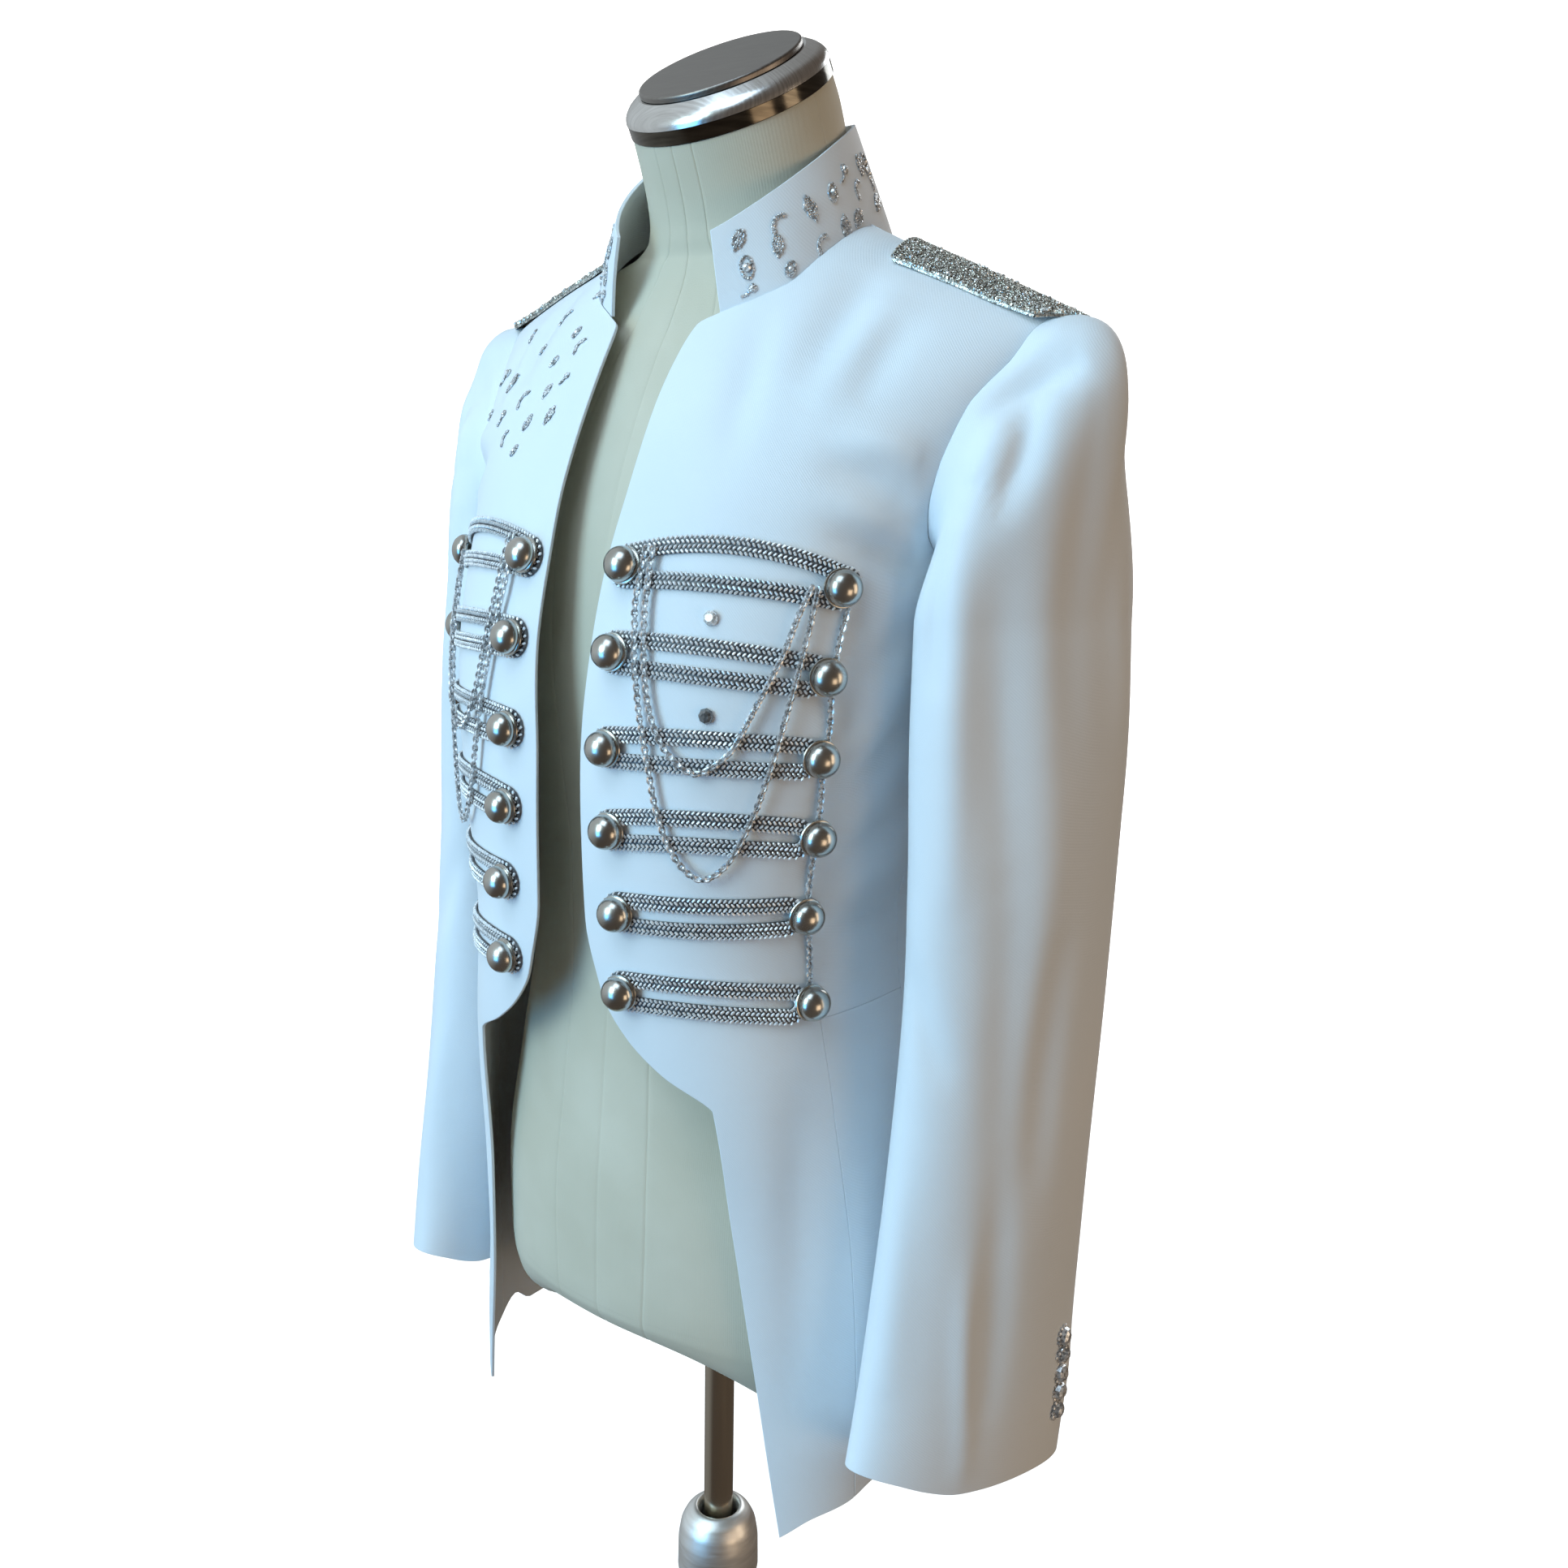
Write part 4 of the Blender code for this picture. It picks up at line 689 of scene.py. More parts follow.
def glint_look(name, dark, light, roughness, scale, metallic):
    """Metal whose tone changes from one small piece to the next."""
    look = Look(name, light, roughness, metallic)
    look.color(look.ramp(look.noise(scale, 2), (0.32, dark), (0.62, light)))
    look.rough(look.spread(look.noise(scale / 2), roughness * 0.7, roughness * 1.4))
    return look.bump(look.noise(scale * 3), 0.00012, 0.5).material


def glitter_look():
    look = Look("glitter_cloth", (0.5, 0.5, 0.48), 0.32, 0.9)
    tones = ((0.15, (0.16, 0.16, 0.15)), (0.55, (0.60, 0.60, 0.56)), (0.9, (0.95, 0.94, 0.88)))
    look.color(look.ramp(look.cells(1100), *tones))
    look.rough(look.spread(look.noise(700), 0.18, 0.5))
    return look.bump(look.cells(1100, "Distance"), 0.0003, 0.8).material


def brushed_look(name, dark, light, roughness, stretch=(1, 1, 40)):
    look = Look(name, light, roughness, 1.0)
    grain = look.noise(60, 6, look.stretched(stretch))
    look.color(look.ramp(grain, (0.3, dark), (0.7, light)))
    look.rough(look.spread(grain, roughness * 0.8, roughness * 1.3))
    return look.bump(grain, 0.00006, 0.4).material


def stone_look(name, color, roughness):
    coat = (("Coat Weight", 0.6), ("Coat Roughness", 0.05), ("IOR", 1.6))
    look = Look(name, color, roughness, 0.35, coat)
    pale = tuple(min(1.0, 1.3 * part) for part in color)
    look.color(look.ramp(look.cells(700), (0.2, tuple(0.45 * part for part in color)), (0.7, pale)))
    return look.rough(look.spread(look.noise(500), roughness * 0.6, roughness * 1.6)).material


# Meshes


def add_piece(name, points, faces, look, slot, nodes=(), sharp=40):
    """A mesh that rides on the body, takes a look and stands for CAD nodes. Its slot is not used."""
    mesh = bpy.data.meshes.new(name)
    mesh.from_pydata(np.asarray(points).tolist(), [], faces if isinstance(faces, list) else faces.tolist())
    shape = bmesh.new()
    shape.from_mesh(mesh)
    loose = [vertex for vertex in shape.verts if not vertex.link_faces]
    bmesh.ops.delete(shape, geom=loose, context="VERTS")
    bmesh.ops.recalc_face_normals(shape, faces=shape.faces)
    shape.to_mesh(mesh)
    shape.free()
    if sharp:
        mesh.shade_smooth()
        mesh.set_sharp_from_angle(angle=radians(sharp))
    mesh.materials.append(look)
    made = bpy.data.objects.new(name, mesh)
    bpy.context.scene.collection.objects.link(made)
    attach(made, "root")
    if nodes:
        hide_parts(*nodes)
    return made


def add_wall(name, outer, inner, look, slot, nodes, cells=None, wrap=False):
    """The wall between two grids of points, with a rounded rim along every open side."""
    rows, columns = outer.shape[:2]
    across = columns if wrap else columns - 1
    cells = np.ones((rows - 1, across), bool) if cells is None else cells
    total = rows * columns

    def corner(row, column, side):
        return int(side * total + row * columns + column % columns)

    def filled(row, column):
        column = column % across if wrap else column
        return 0 <= row < rows - 1 and 0 <= column < across and cells[row, column]

    faces = []
    for row, column in np.argwhere(cells):
        ring = [(row, column), (row, column + 1), (row + 1, column + 1), (row + 1, column)]
        faces.append([corner(*place, 0) for place in ring])
        faces.append([corner(*place, 1) for place in reversed(ring)])
        beside = ((row - 1, column), (row, column + 1), (row + 1, column), (row, column - 1))
        for k, other in enumerate(beside):
            if not filled(*other):
                a, b = ring[k], ring[(k + 1) % 4]
                faces.append([corner(*b, 0), corner(*a, 0), corner(*a, 1), corner(*b, 1)])
    points = np.concatenate([outer.reshape(-1, 3), inner.reshape(-1, 3)])
    made = add_piece(name, points, faces, look, slot, nodes, sharp=60)
    rim = made.modifiers.new("rim", "BEVEL")
    rim.width = RIM_ROUNDING
    rim.segments = 2
    rim.limit_method = "ANGLE"
    rim.angle_limit = radians(60)
    return made


def tube_faces(rows, sides, closed=False):
    """Four-sided faces between rings of points, and from the last ring to the first if closed."""
    faces = []
    for row in range(rows if closed else rows - 1):
        low, high = row * sides, (row + 1) % rows * sides
        for side in range(sides):
            after = (side + 1) % sides
            faces.append([low + side, low + after, high + after, high + side])
    return faces


def add_loft(name, rings, look, slot, nodes, sharp=40):
    """A closed solid through rings of points, all with the same count, with flat ends."""
    count, sides = len(rings), len(rings[0])
    ends = [list(range(sides)), [(count - 1) * sides + side for side in range(sides)]]
    faces = ends + tube_faces(count, sides)
    return add_piece(name, np.concatenate(rings), faces, look, slot, nodes, sharp)


def lathe_shape(profile, sides):
    """Points and faces of a small turned shape about Z: radius and height, closed at both ends."""
    points = [(0.0, 0.0, profile[0][1])]
    for radius, height in profile:
        for side in range(sides):
            turn = 2 * np.pi * side / sides
            points.append((radius * cos(turn), radius * sin(turn), height))
    points.append((0.0, 0.0, profile[-1][1]))
    faces = []
    last = 1 + (len(profile) - 1) * sides
    for side in range(sides):
        after = (side + 1) % sides
        faces.append((0, 1 + after, 1 + side))
        faces.append((last + side, last + after, len(points) - 1))
        for row in range(len(profile) - 1):
            low, high = 1 + row * sides, 1 + (row + 1) * sides
            faces.append((low + side, low + after, high + after))
            faces.append((low + side, high + after, high + side))
    return np.array(points), np.array(faces)


def link_shape(major, minor, length, width, wire):
    """An oval ring of wire in the XY plane, longest along X."""
    turn = np.arange(major) * 2 * np.pi / major
    bend = np.arange(minor) * 2 * np.pi / minor
    reach = wire * np.cos(bend)
    x = np.cos(turn)[:, None] * (length + reach)
    y = np.sin(turn)[:, None] * (width + reach)
    z = np.broadcast_to(wire * np.sin(bend), x.shape)
    points = np.stack([x, y, z], -1).reshape(-1, 3)
    faces = []
    for i in range(major):
        for j in range(minor):
            a, b = i * minor + j, i * minor + (j + 1) % minor
            c, d = (i + 1) % major * minor + (j + 1) % minor, (i + 1) % major * minor + j
            faces += [(a, b, c), (a, c, d)]
    return points, np.array(faces)


GRAIN = lathe_shape(((0.84, -0.54), (0.84, 0.54)), 5)
GRAIN[0][0, 2], GRAIN[0][-1, 2] = -1, 1
CHIP = lathe_shape(((0.86, -0.2), (1.0, 0.15), (0.6, 0.55)), 5)
GEM = lathe_shape(((0.35, -0.5), (1.0, 0.0), (0.82, 0.42), (0.5, 0.62)), 8)
PEARL = lathe_shape(((0.6, -0.8), (1.0, 0.0), (0.82, 0.57), (0.45, 0.89), (0.18, 0.98)), 10)
LINK = link_shape(10, 5, 0.00190, 0.00132, 0.00068)


def scatter(shape, centres, frames, sizes):
    """Points and faces of many copies: frames holds three unit vectors for each, sizes its scales."""
    points, faces = shape
    centres, frames, sizes = np.asarray(centres), np.asarray(frames), np.asarray(sizes, float)
    sizes = np.broadcast_to(sizes, (len(centres), 3))
    moved = np.einsum("pk,nk,nkx->npx", points, sizes, frames) + centres[:, None]
    number = np.arange(len(centres))[:, None, None] * len(points)
    return moved.reshape(-1, 3), (np.asarray(faces)[None] + number).reshape(-1, np.shape(faces)[1])


def joined(parts):
    """Several sets of points and triangles as one."""
    points, faces, total = [], [], 0
    for some_points, some_faces in parts:
        points.append(some_points)
        faces.append(np.asarray(some_faces) + total)
        total += len(some_points)
    return np.concatenate(points), np.concatenate(faces)


def both_sides(name, build):
    """The wearer's left piece, and its counterpart on the right."""
    for side, sign in (("left", 1), ("right", -1)):
        build(name.format(side=side), side, np.array([sign, 1, 1]))


def ease(grid, rows, columns, toward):
    """The moves that hold these points back from a seam, towards their neighbours in the panel."""
    moves = np.zeros_like(grid)
    for row in rows:
        for column in columns:
            near = grid[row + toward[0], column + toward[1]] - grid[row, column]
            moves[row, column] = EASE * unit(near)
    return moves


# Cloth


def smooth_route(points, step):
    """Points every step or so along the smooth curve through these places."""
    points = np.asarray(points, float)
    padded = np.concatenate([[2 * points[0] - points[1]], points, [2 * points[-1] - points[-2]]])
    s = np.linspace(0, 1, SPAN_STEPS, endpoint=False)[:, None]
    fine = []
    for a, b, c, d in zip(padded, padded[1:], padded[2:], padded[3:]):
        curve = (2 * a - 5 * b + 4 * c - d) * s**2 + (3 * b - a - 3 * c + d) * s**3
        fine.append((2 * b + (c - a) * s + curve) / 2)
    fine = np.concatenate(fine + [points[-1:]])
    run = run_along(fine)
    return read_line(np.linspace(0, run[-1], round(run[-1] / step) + 1), run, fine)


def folded(points, folds, side):
    """How far each point of a panel, seen as a left one, is pushed out by the folds near it."""
    lift = np.zeros(points.shape[:-1])
    scale = FOLD_DEPTH * (1 if side == "left" else RIGHT_SHARE)
    points = points + np.array([0, 0, 0 if side == "left" else RIGHT_DROP])
    for fold in folds:
        route = smooth_route(fold.route, 0.003)
        share = np.linspace(0, 1, len(route))
        apart = np.linalg.norm(points[..., None, :] - route, axis=-1)
        near = apart.argmin(-1)
        along = np.sin(np.pi * np.clip(share[near], 0.02, 0.98)) ** 0.7
        lift += scale * fold.depth * along * np.exp(-((apart.min(-1) / fold.width) ** 2))
    return lift


def away_from(points, line, reach):
    """0 on a line of points, rising softly to 1 at this reach from it."""
    apart = np.linalg.norm(points[..., None, :] - line, axis=-1).min(-1)
    share = np.clip(apart / reach, 0, 1)
    return share**2 * (3 - 2 * share)


def dress_panel(kind, turns, rises, moves, cells, look):
    """A panel of the body on each side, with its folds, held flat at the armhole and the neckline."""
    outer = cloth(turns, rises)
    normals = cloth_normal(turns, rises)
    still = away_from(outer, ARMHOLE_LINE, SEAM_FADE) * away_from(outer, NECKLINE, SEAM_FADE)

    def build(name, side, mirror):
        lift = (folded(outer, BODY_FOLDS, side) * still)[..., None] * normals
        top = (outer + lift + moves) * mirror
        bottom = (outer + lift + moves - WALL * normals) * mirror
        made = add_wall(name + "_cloth", top, bottom, look, "white_suiting", [name], cells)
        surfaces[name] = (top, normals * mirror)

    both_sides(kind + "_{side}", build)


def front_grid():
    """Turns and rises of a front's points, and which cells it fills."""
    turns, rises = [], []
    for rise in (*FRONT_ROWS, *CUTAWAY_ROWS):
        start = turn_at(edge_out(rise), rise)
        side = front_armhole(rise) if rise > ARMPIT else 90
        above = np.clip((rise - WAIST_SEAM) / (TIP - WAIST_SEAM), 0, 1)
        dart = DART_TURN + (start + DART_SHARE * (side - start) - DART_TURN) * above
        first = turns_between(start, dart, rise, EDGE_COLUMNS)
        turns.append(np.concatenate([first, turns_between(dart, side, rise, SIDE_COLUMNS)[1:]]))
        rises.append(np.full(len(turns[-1]), rise))
    for step in range(1, TAIL_ROWS + 1):
        share = step / TAIL_ROWS
        edge_rise = CUTAWAY_CORNER + share * (TAIL_TIP - CUTAWAY_CORNER)
        start = turn_at(edge_out(edge_rise), edge_rise)
        first = turns_between(start, DART_TURN, edge_rise, EDGE_COLUMNS)
        row = np.concatenate([first, np.linspace(DART_TURN, 90, SIDE_COLUMNS + 1)[1:]])
        turns.append(row)
        rises.append(CUTAWAY_CORNER + share * (hem_height(row) - CUTAWAY_CORNER))
    turns, rises = np.array(turns), np.array(rises)
    cells = np.ones((len(turns) - 1, EDGE_COLUMNS + SIDE_COLUMNS), bool)
    cells[len(FRONT_ROWS) - 1 :, EDGE_COLUMNS:] = False
    return turns, rises, cells


def dress_fronts(look):
    turns, rises, cells = front_grid()
    outer = cloth(turns, rises)
    waist = len(FRONT_ROWS) - 1
    last = outer.shape[1] - 1
    armpit = list(FRONT_ROWS).index(ARMPIT)
    moves = ease(outer, [0], range(last + 1), (1, 0))
    moves += ease(outer, range(armpit, waist + 1), [last], (0, -1))
    moves += ease(outer, [waist], range(EDGE_COLUMNS, last + 1), (-1, 0))
    moves += ease(outer, range(waist, len(outer)), [EDGE_COLUMNS], (0, -1))
    dress_panel("front", turns, rises, moves, cells, look)


def dress_skirts(look):
    turns, rises = [], []
    for rise in (WAIST_SEAM, *CUTAWAY_ROWS):
        turns.append(turns_between(DART_TURN, 90, rise, SIDE_COLUMNS))
        rises.append(np.full(SIDE_COLUMNS + 1, rise))
    for step in range(1, TAIL_ROWS + 1):
        row = turns_between(DART_TURN, 90, TAIL_TIP, SIDE_COLUMNS)
        turns.append(row)
        rises.append(CUTAWAY_CORNER + step / TAIL_ROWS * (hem_height(row) - CUTAWAY_CORNER))
    turns, rises = np.array(turns), np.array(rises)
    outer = cloth(turns, rises)
    count = len(outer)
    moves = ease(outer, [0], range(SIDE_COLUMNS + 1), (1, 0))
    moves += ease(outer, range(count), [0], (0, 1))
    moves += ease(outer, range(count), [SIDE_COLUMNS], (0, -1))
    dress_panel("skirt", turns, rises, moves, None, look)


def dress_backs(look):
    turns, rises = [], []
    for rise in BACK_ROWS:
        start = back_armhole(rise) if rise > ARMPIT else 90
        end = back_turn_at(back_neck_out(rise), rise) if rise > BACK_NECK[0].rise else 180
        turns.append(turns_between(start, end, rise, BACK_COLUMNS))
        rises.append(np.full(BACK_COLUMNS + 1, rise))
    last_turns = turns_between(90, 180, HEM[-1].height, BACK_COLUMNS)
    for share in np.linspace(0, 1, 6)[1:]:
        row = turns[len(BACK_ROWS) - 1] * (1 - share) + last_turns * share
        turns.append(row)
        rises.append(BACK_ROWS[-1] * (1 - share) + share * hem_height(row))
    turns, rises = np.array(turns), np.array(rises)
    outer = cloth(turns, rises)
    count = len(outer)
    neck = next(row for row, rise in enumerate(BACK_ROWS) if rise <= BACK_NECK[0].rise)
    moves = ease(outer, [0], range(BACK_COLUMNS + 1), (1, 0))
    moves += ease(outer, range(list(BACK_ROWS).index(ARMPIT), count), [0], (0, 1))
    moves += ease(outer, range(neck, count), [BACK_COLUMNS], (0, -1))
    dress_panel("back", turns, rises, moves, None, look)


def armhole_ring():
    """Points on the armhole, with the cloth's normal and the direction into the hole, by angle.

    The angle is seen from the side: 0 at the shoulder, 90 behind, 180 at the armpit, 270 in front.
    """
    rises = np.linspace(ARMPIT, TIP, FINE_LINE)
    front = np.stack([front_armhole(rises), rises], -1)
    back = np.stack([back_armhole(rises), rises], -1)[::-1]
    route = np.concatenate([front[:-1], back[:-1]])
    points = cloth(route[:, 0], route[:, 1])
    normals = cloth_normal(route[:, 0], route[:, 1])
    along = np.roll(points, -1, axis=0) - np.roll(points, 1, axis=0)
    inward = unit(np.cross(normals, along))
    y, z = ARMHOLE_CENTRE
    toward = np.stack([np.zeros(len(points)), y - points[:, 1], z - points[:, 2]], -1)
    inward *= np.sign((inward * toward).sum(-1, keepdims=True))
    angles = np.degrees(np.arctan2(points[:, 1] - y, points[:, 2] - z)) % 360
    order = np.argsort(angles)

    def at(angle):
        def read(values):
            columns = [np.interp(angle, angles[order], values[order, k], period=360) for k in range(3)]
            return np.stack(columns, -1)

        return read(points), unit(read(normals)), unit(read(inward))

    return at


def sleeve_ring(height, angles):
    columns = ("out", "back", "thin", "wide", "swing")
    out, back, thin, wide, swing = (
        curve_through(SLEEVE, "height", column)(height) for column in columns
    )
    across = thin * np.cos(np.radians(angles))
    along = wide * np.sin(np.radians(angles))
    c, s = cos(radians(swing)), sin(radians(swing))
    x, y = out + across * c + along * s, back - across * s + along * c
    slanting = np.clip((CUFF_START - height) / (CUFF_START - CUFF), 0, 1)
    return np.stack([x, y, height + slanting * (cuff_height(y) - CUFF)], -1)


def sleeve_head(angles):
    """Rows from the armhole over the sleeve's head to the biceps, each running round the arm."""
    edge, normal, inward = armhole_ring()(angles)
    turn = np.radians(angles)
    under = np.clip((-np.cos(turn) - UNDERARM_START) / UNDERARM_REACH, 0, 1)[:, None]
    start = edge + ARMHOLE_GAP * inward + UNDERARM_LIFT * under * normal
    end = sleeve_ring(BICEPS, angles)
    top = ((1 + np.cos(turn)) / 2)[:, None] ** HEAD_ROUNDING
    leave = np.array([1.0, 0, 0]) * (HEAD_FULLNESS[0] + (HEAD_FULLNESS[1] - HEAD_FULLNESS[0]) * top)
    leave = leave + np.array([0, 0, HEAD_RISE]) * top**4
    arrive = np.array([0, 0, -1.0]) * (HEAD_HANG[0] + (HEAD_HANG[1] - HEAD_HANG[0]) * top)
    rows = []
    for step in range(SLEEVE_HEAD_ROWS + 1):
        s = step / SLEEVE_HEAD_ROWS
        ends = (2 * s**3 - 3 * s**2 + 1) * start + (3 * s**2 - 2 * s**3) * end
        rows.append(ends + (s**3 - 2 * s**2 + s) * leave + (s**3 - s**2) * arrive)
    return rows


def tube_normals(grid):
    """Outward directions of a grid that runs round a tube, its rows from the top down."""
    down = np.gradient(grid, axis=0)
    around = np.roll(grid, -1, axis=1) - np.roll(grid, 1, axis=1)
    return unit(np.cross(down, around))


def dress_sleeves(look):
    angles = np.arange(SLEEVE_COLUMNS) * 360 / SLEEVE_COLUMNS
    outer = np.array(sleeve_head(angles) + [sleeve_ring(height, angles) for height in SLEEVE_ROWS])
    normals = tube_normals(outer)
    turn = np.radians(angles)
    normals[0] = np.stack([np.zeros_like(turn), np.sin(turn), np.cos(turn)], -1)
    above_cuff = np.clip((outer[..., 2] - CUFF_FADE_END) / CUFF_FADE, 0, 1)
    still = away_from(outer, outer[0], SEAM_FADE) * above_cuff

    def build(name, side, mirror):
        lift = (folded(outer, SLEEVE_FOLDS, side) * still)[..., None] * normals
        top = (outer + lift) * mirror
        bottom = (outer + lift - WALL * normals) * mirror
        made = add_wall(name + "_cloth", top, bottom, look, "white_suiting", [name], wrap=True)
        surfaces[name] = (top, normals * mirror)

    both_sides("sleeve_{side}", build)


# Collar and epaulettes


def even(points, count):
    """count + 1 points, evenly spaced along a line of points."""
    run = run_along(points)
    return read_line(np.linspace(0, run[-1], count + 1), run, points)


def neckline():
    """The neckline's left half, from the collar's front end to the middle of the back."""
    front_rises = np.array([rise for rise in FRONT_ROWS if rise >= NECK_CORNER])[::-1]
    back_rises = np.array([rise for rise in BACK_ROWS if BACK_NECK[0].rise <= rise < TIP])
    front_turns = turn_at(edge_out(front_rises), front_rises)
    back_turns = back_turn_at(back_neck_out(back_rises), back_rises)
    turns = np.concatenate([front_turns, back_turns])
    rises = np.concatenate([front_rises, back_rises])
    points = cloth(turns, rises)
    normals = cloth_normal(turns, rises)
    inward = unit(np.cross(np.gradient(points, axis=0), normals))
    inward[-1, 0] = 0
    inward *= np.where((inward * -points)[:, :2].sum(-1, keepdims=True) < 0, -1, 1)
    return points + NECK_GAP * inward - COLLAR_TUCK * normals


def collar_rim():
    """The left half of the collar's top edge, from its front end to the middle of the back."""
    turn = np.radians(np.linspace(COLLAR_START, 180, FINE_LINE))
    depth = np.where(np.cos(turn) > 0, COLLAR_FRONT, COLLAR_BACK)
    y = COLLAR_CENTRE - depth * np.cos(turn)
    return np.stack([COLLAR_HALF_WIDTH * np.sin(turn), y, collar_height(y)], -1)


def whole(half):
    """A left half and its mirror image as one line, from the right front end to the left one."""
    right = half[:-1] * np.array([-1, 1, 1])
    middle = half[-1:] * np.array([0, 1, 1])
    return np.concatenate([right, middle, half[:-1][::-1]])


def dress_collar(look):
    base = whole(NECKLINE)
    rim = whole(even(collar_rim(), len(NECKLINE) - 1))
    share = np.linspace(0, 1, COLLAR_ROWS)[:, None, None]
    outer = (1 - share) * base + share * rim
    normals = unit(np.cross(np.gradient(outer, axis=0), np.gradient(outer, axis=1)))
    away = outer - np.array([0, COLLAR_CENTRE, 0])
    normals *= np.sign((normals[..., :2] * away[..., :2]).sum(-1, keepdims=True))
    outer = outer + COLLAR_BELLY * share * (1 - share) * normals
    made = add_wall("collar_cloth", outer, outer - COLLAR_WALL * normals, look, "white_suiting", ["collar"])
    surfaces["collar"] = (outer, normals)


def shoulder_top(x, y):
    """The height of the cloth over this place on the shoulder, found by halving."""
    high = np.where(y < RIDGE, ridge_front(x), ridge_back(x)) - 1e-6
    low = high - SHOULDER_SEARCH
    for _ in range(HALVINGS):
        middle = (low + high) / 2
        ridge = np.where(y < RIDGE, ridge_front(x), ridge_back(x))
        rise = LEVEL + (middle - LEVEL) / (ridge - LEVEL) * (TIP - LEVEL)
        turn = np.where(y < RIDGE, turn_at(x, rise), back_turn_at(x, rise))
        reach = cloth(turn, rise)[..., 1]
        inside = np.where(y < RIDGE, reach < y, reach > y)
        low, high = np.where(inside, middle, low), np.where(inside, high, middle)
    return (low + high) / 2


def epaulette_grid(rows, columns):
    along, across = np.meshgrid(np.linspace(0, 1, rows), np.linspace(-1, 1, columns), indexing="ij")
    inner_end = EPAULETTE_INNER + EPAULETTE_SCALLOP * across**2
    outer_end = EPAULETTE_OUTER - EPAULETTE_SLANT * np.clip(-across, 0, 1)
    x = inner_end + (outer_end - inner_end) * along
    front = EPAULETTE_INNER_FRONT + (EPAULETTE_OUTER_FRONT - EPAULETTE_INNER_FRONT) * along
    back = EPAULETTE_INNER_BACK + (EPAULETTE_OUTER_BACK - EPAULETTE_INNER_BACK) * along
    y = RIDGE + np.where(across < 0, front, back) * across
    bent = np.minimum(x, EPAULETTE_STRAIGHT)
    fall = (ridge_front(EPAULETTE_STRAIGHT) - ridge_front(EPAULETTE_STRAIGHT - SLOPE_STEP)) / SLOPE_STEP
    return np.stack([x, y, shoulder_top(bent, y) + fall * (x - bent) + EPAULETTE_LIFT], -1)


def grid_normals(grid, outward):
    normals = unit(np.cross(np.gradient(grid, axis=0), np.gradient(grid, axis=1)))
    return normals * np.sign((normals * outward).sum(-1, keepdims=True))


def random_frames(normals, tilt, number):
    """Upright frames on these normals, each leaning and turned at random."""
    leaning = unit(normals + tilt * chance.normal(size=(number, 3)))
    side = unit(np.cross(leaning, chance.normal(size=(number, 3))))
    return np.stack([side, np.cross(leaning, side), leaning], 1)


FLAKES = 5200
FLAKE = (0.00062, 0.00055, 0.0005)
FLAKE_LIFT = 0.0004
BIG_FLAKES = 70
BIG_FLAKE_LIFT = 0.0008
BIG_FLAKE = 0.0011
EDGE_GRAINS = 260
EDGE_GRAIN = (0.0008, 0.0008, 0.0010)


def dress_epaulettes(look, flake_look, bright_look):
    under = epaulette_grid(EPAULETTE_ROWS, EPAULETTE_COLUMNS)
    over = under + np.array([0, 0, EPAULETTE_THICKNESS * EPAULETTE_PILE])
    normals = grid_normals(over, np.array([0, 0, 1.0]))

    def places(number):
        row = chance.uniform(0, EPAULETTE_ROWS - 1.001, number)
        column = chance.uniform(0, EPAULETTE_COLUMNS - 1.001, number)
        return read_grid(over, row, column), normals[row.astype(int), column.astype(int)]

    spots, leans = places(FLAKES)
    flakes = scatter(
        CHIP,
        spots + FLAKE_LIFT * leans,
        random_frames(leans, 0.45, FLAKES),
        np.array(FLAKE) * chance.uniform(0.7, 1.3, (FLAKES, 1)),
    )
    spots, leans = places(BIG_FLAKES)
    big = scatter(
        GEM,
        spots + BIG_FLAKE_LIFT * leans,
        random_frames(leans, 0.12, BIG_FLAKES),
        BIG_FLAKE * chance.uniform(0.7, 1.2, (BIG_FLAKES, 1)),
    )
    edge = np.concatenate([over[:-1, 0], over[-1, :-1], over[:0:-1, -1], over[0, :0:-1]])
    edge = even(np.concatenate([edge, edge[:1]]), EDGE_GRAINS)[:-1]
    upright = np.repeat([[0, 0, 1.0]], EDGE_GRAINS, 0)
    rim = scatter(GRAIN, edge, random_frames(upright, 0.3, EDGE_GRAINS), EDGE_GRAIN)
    trim = (("flakes", flakes, flake_look), ("dots", big, bright_look), ("edge", rim, flake_look))

    def build(name, side, mirror):
        add_wall(name + "_strap", over * mirror, under * mirror, look, "glitter", [name])
        for part, shape, paint in trim:
            add_piece(f"{name}_{part}", shape[0] * mirror, shape[1], paint, "glitter", sharp=0)

    both_sides("epaulette_{side}", build)


# Braid, buttons and chains


def front_chart():
    """A function from girth and height to points on a front, raised by a lift."""
    heights = np.arange(*CHART_HEIGHTS)
    girths = np.arange(*CHART_GIRTHS)
    turns = np.linspace(*CHART_TURNS)
    grid = []
    for height in heights:
        rise = np.full_like(turns, height)
        for _ in range(CHART_PASSES if height > LEVEL else 0):
            ridge = ridge_front(half_width(rise) * np.sin(np.radians(turns)) ** (2 / FRONT_POWER))
            rise = LEVEL + (height - LEVEL) / (ridge - LEVEL) * (TIP - LEVEL)
        points = cloth(turns, rise)
        grid.append(read_line(girths, points[0, 0] + run_along(points), points))
    grid = np.array(grid)
    normals = unit(np.cross(np.gradient(grid, axis=1), np.gradient(grid, axis=0)))

    def at(places, lift=0.0):
        girth, height = np.asarray(places, float).T
        row = (height - heights[0]) / (heights[1] - heights[0])
        column = (girth - girths[0]) / (girths[1] - girths[0])
        normal = unit(read_grid(normals, row, column))
        return read_grid(grid, row, column) + np.asarray(lift) * normal, normal

    return at


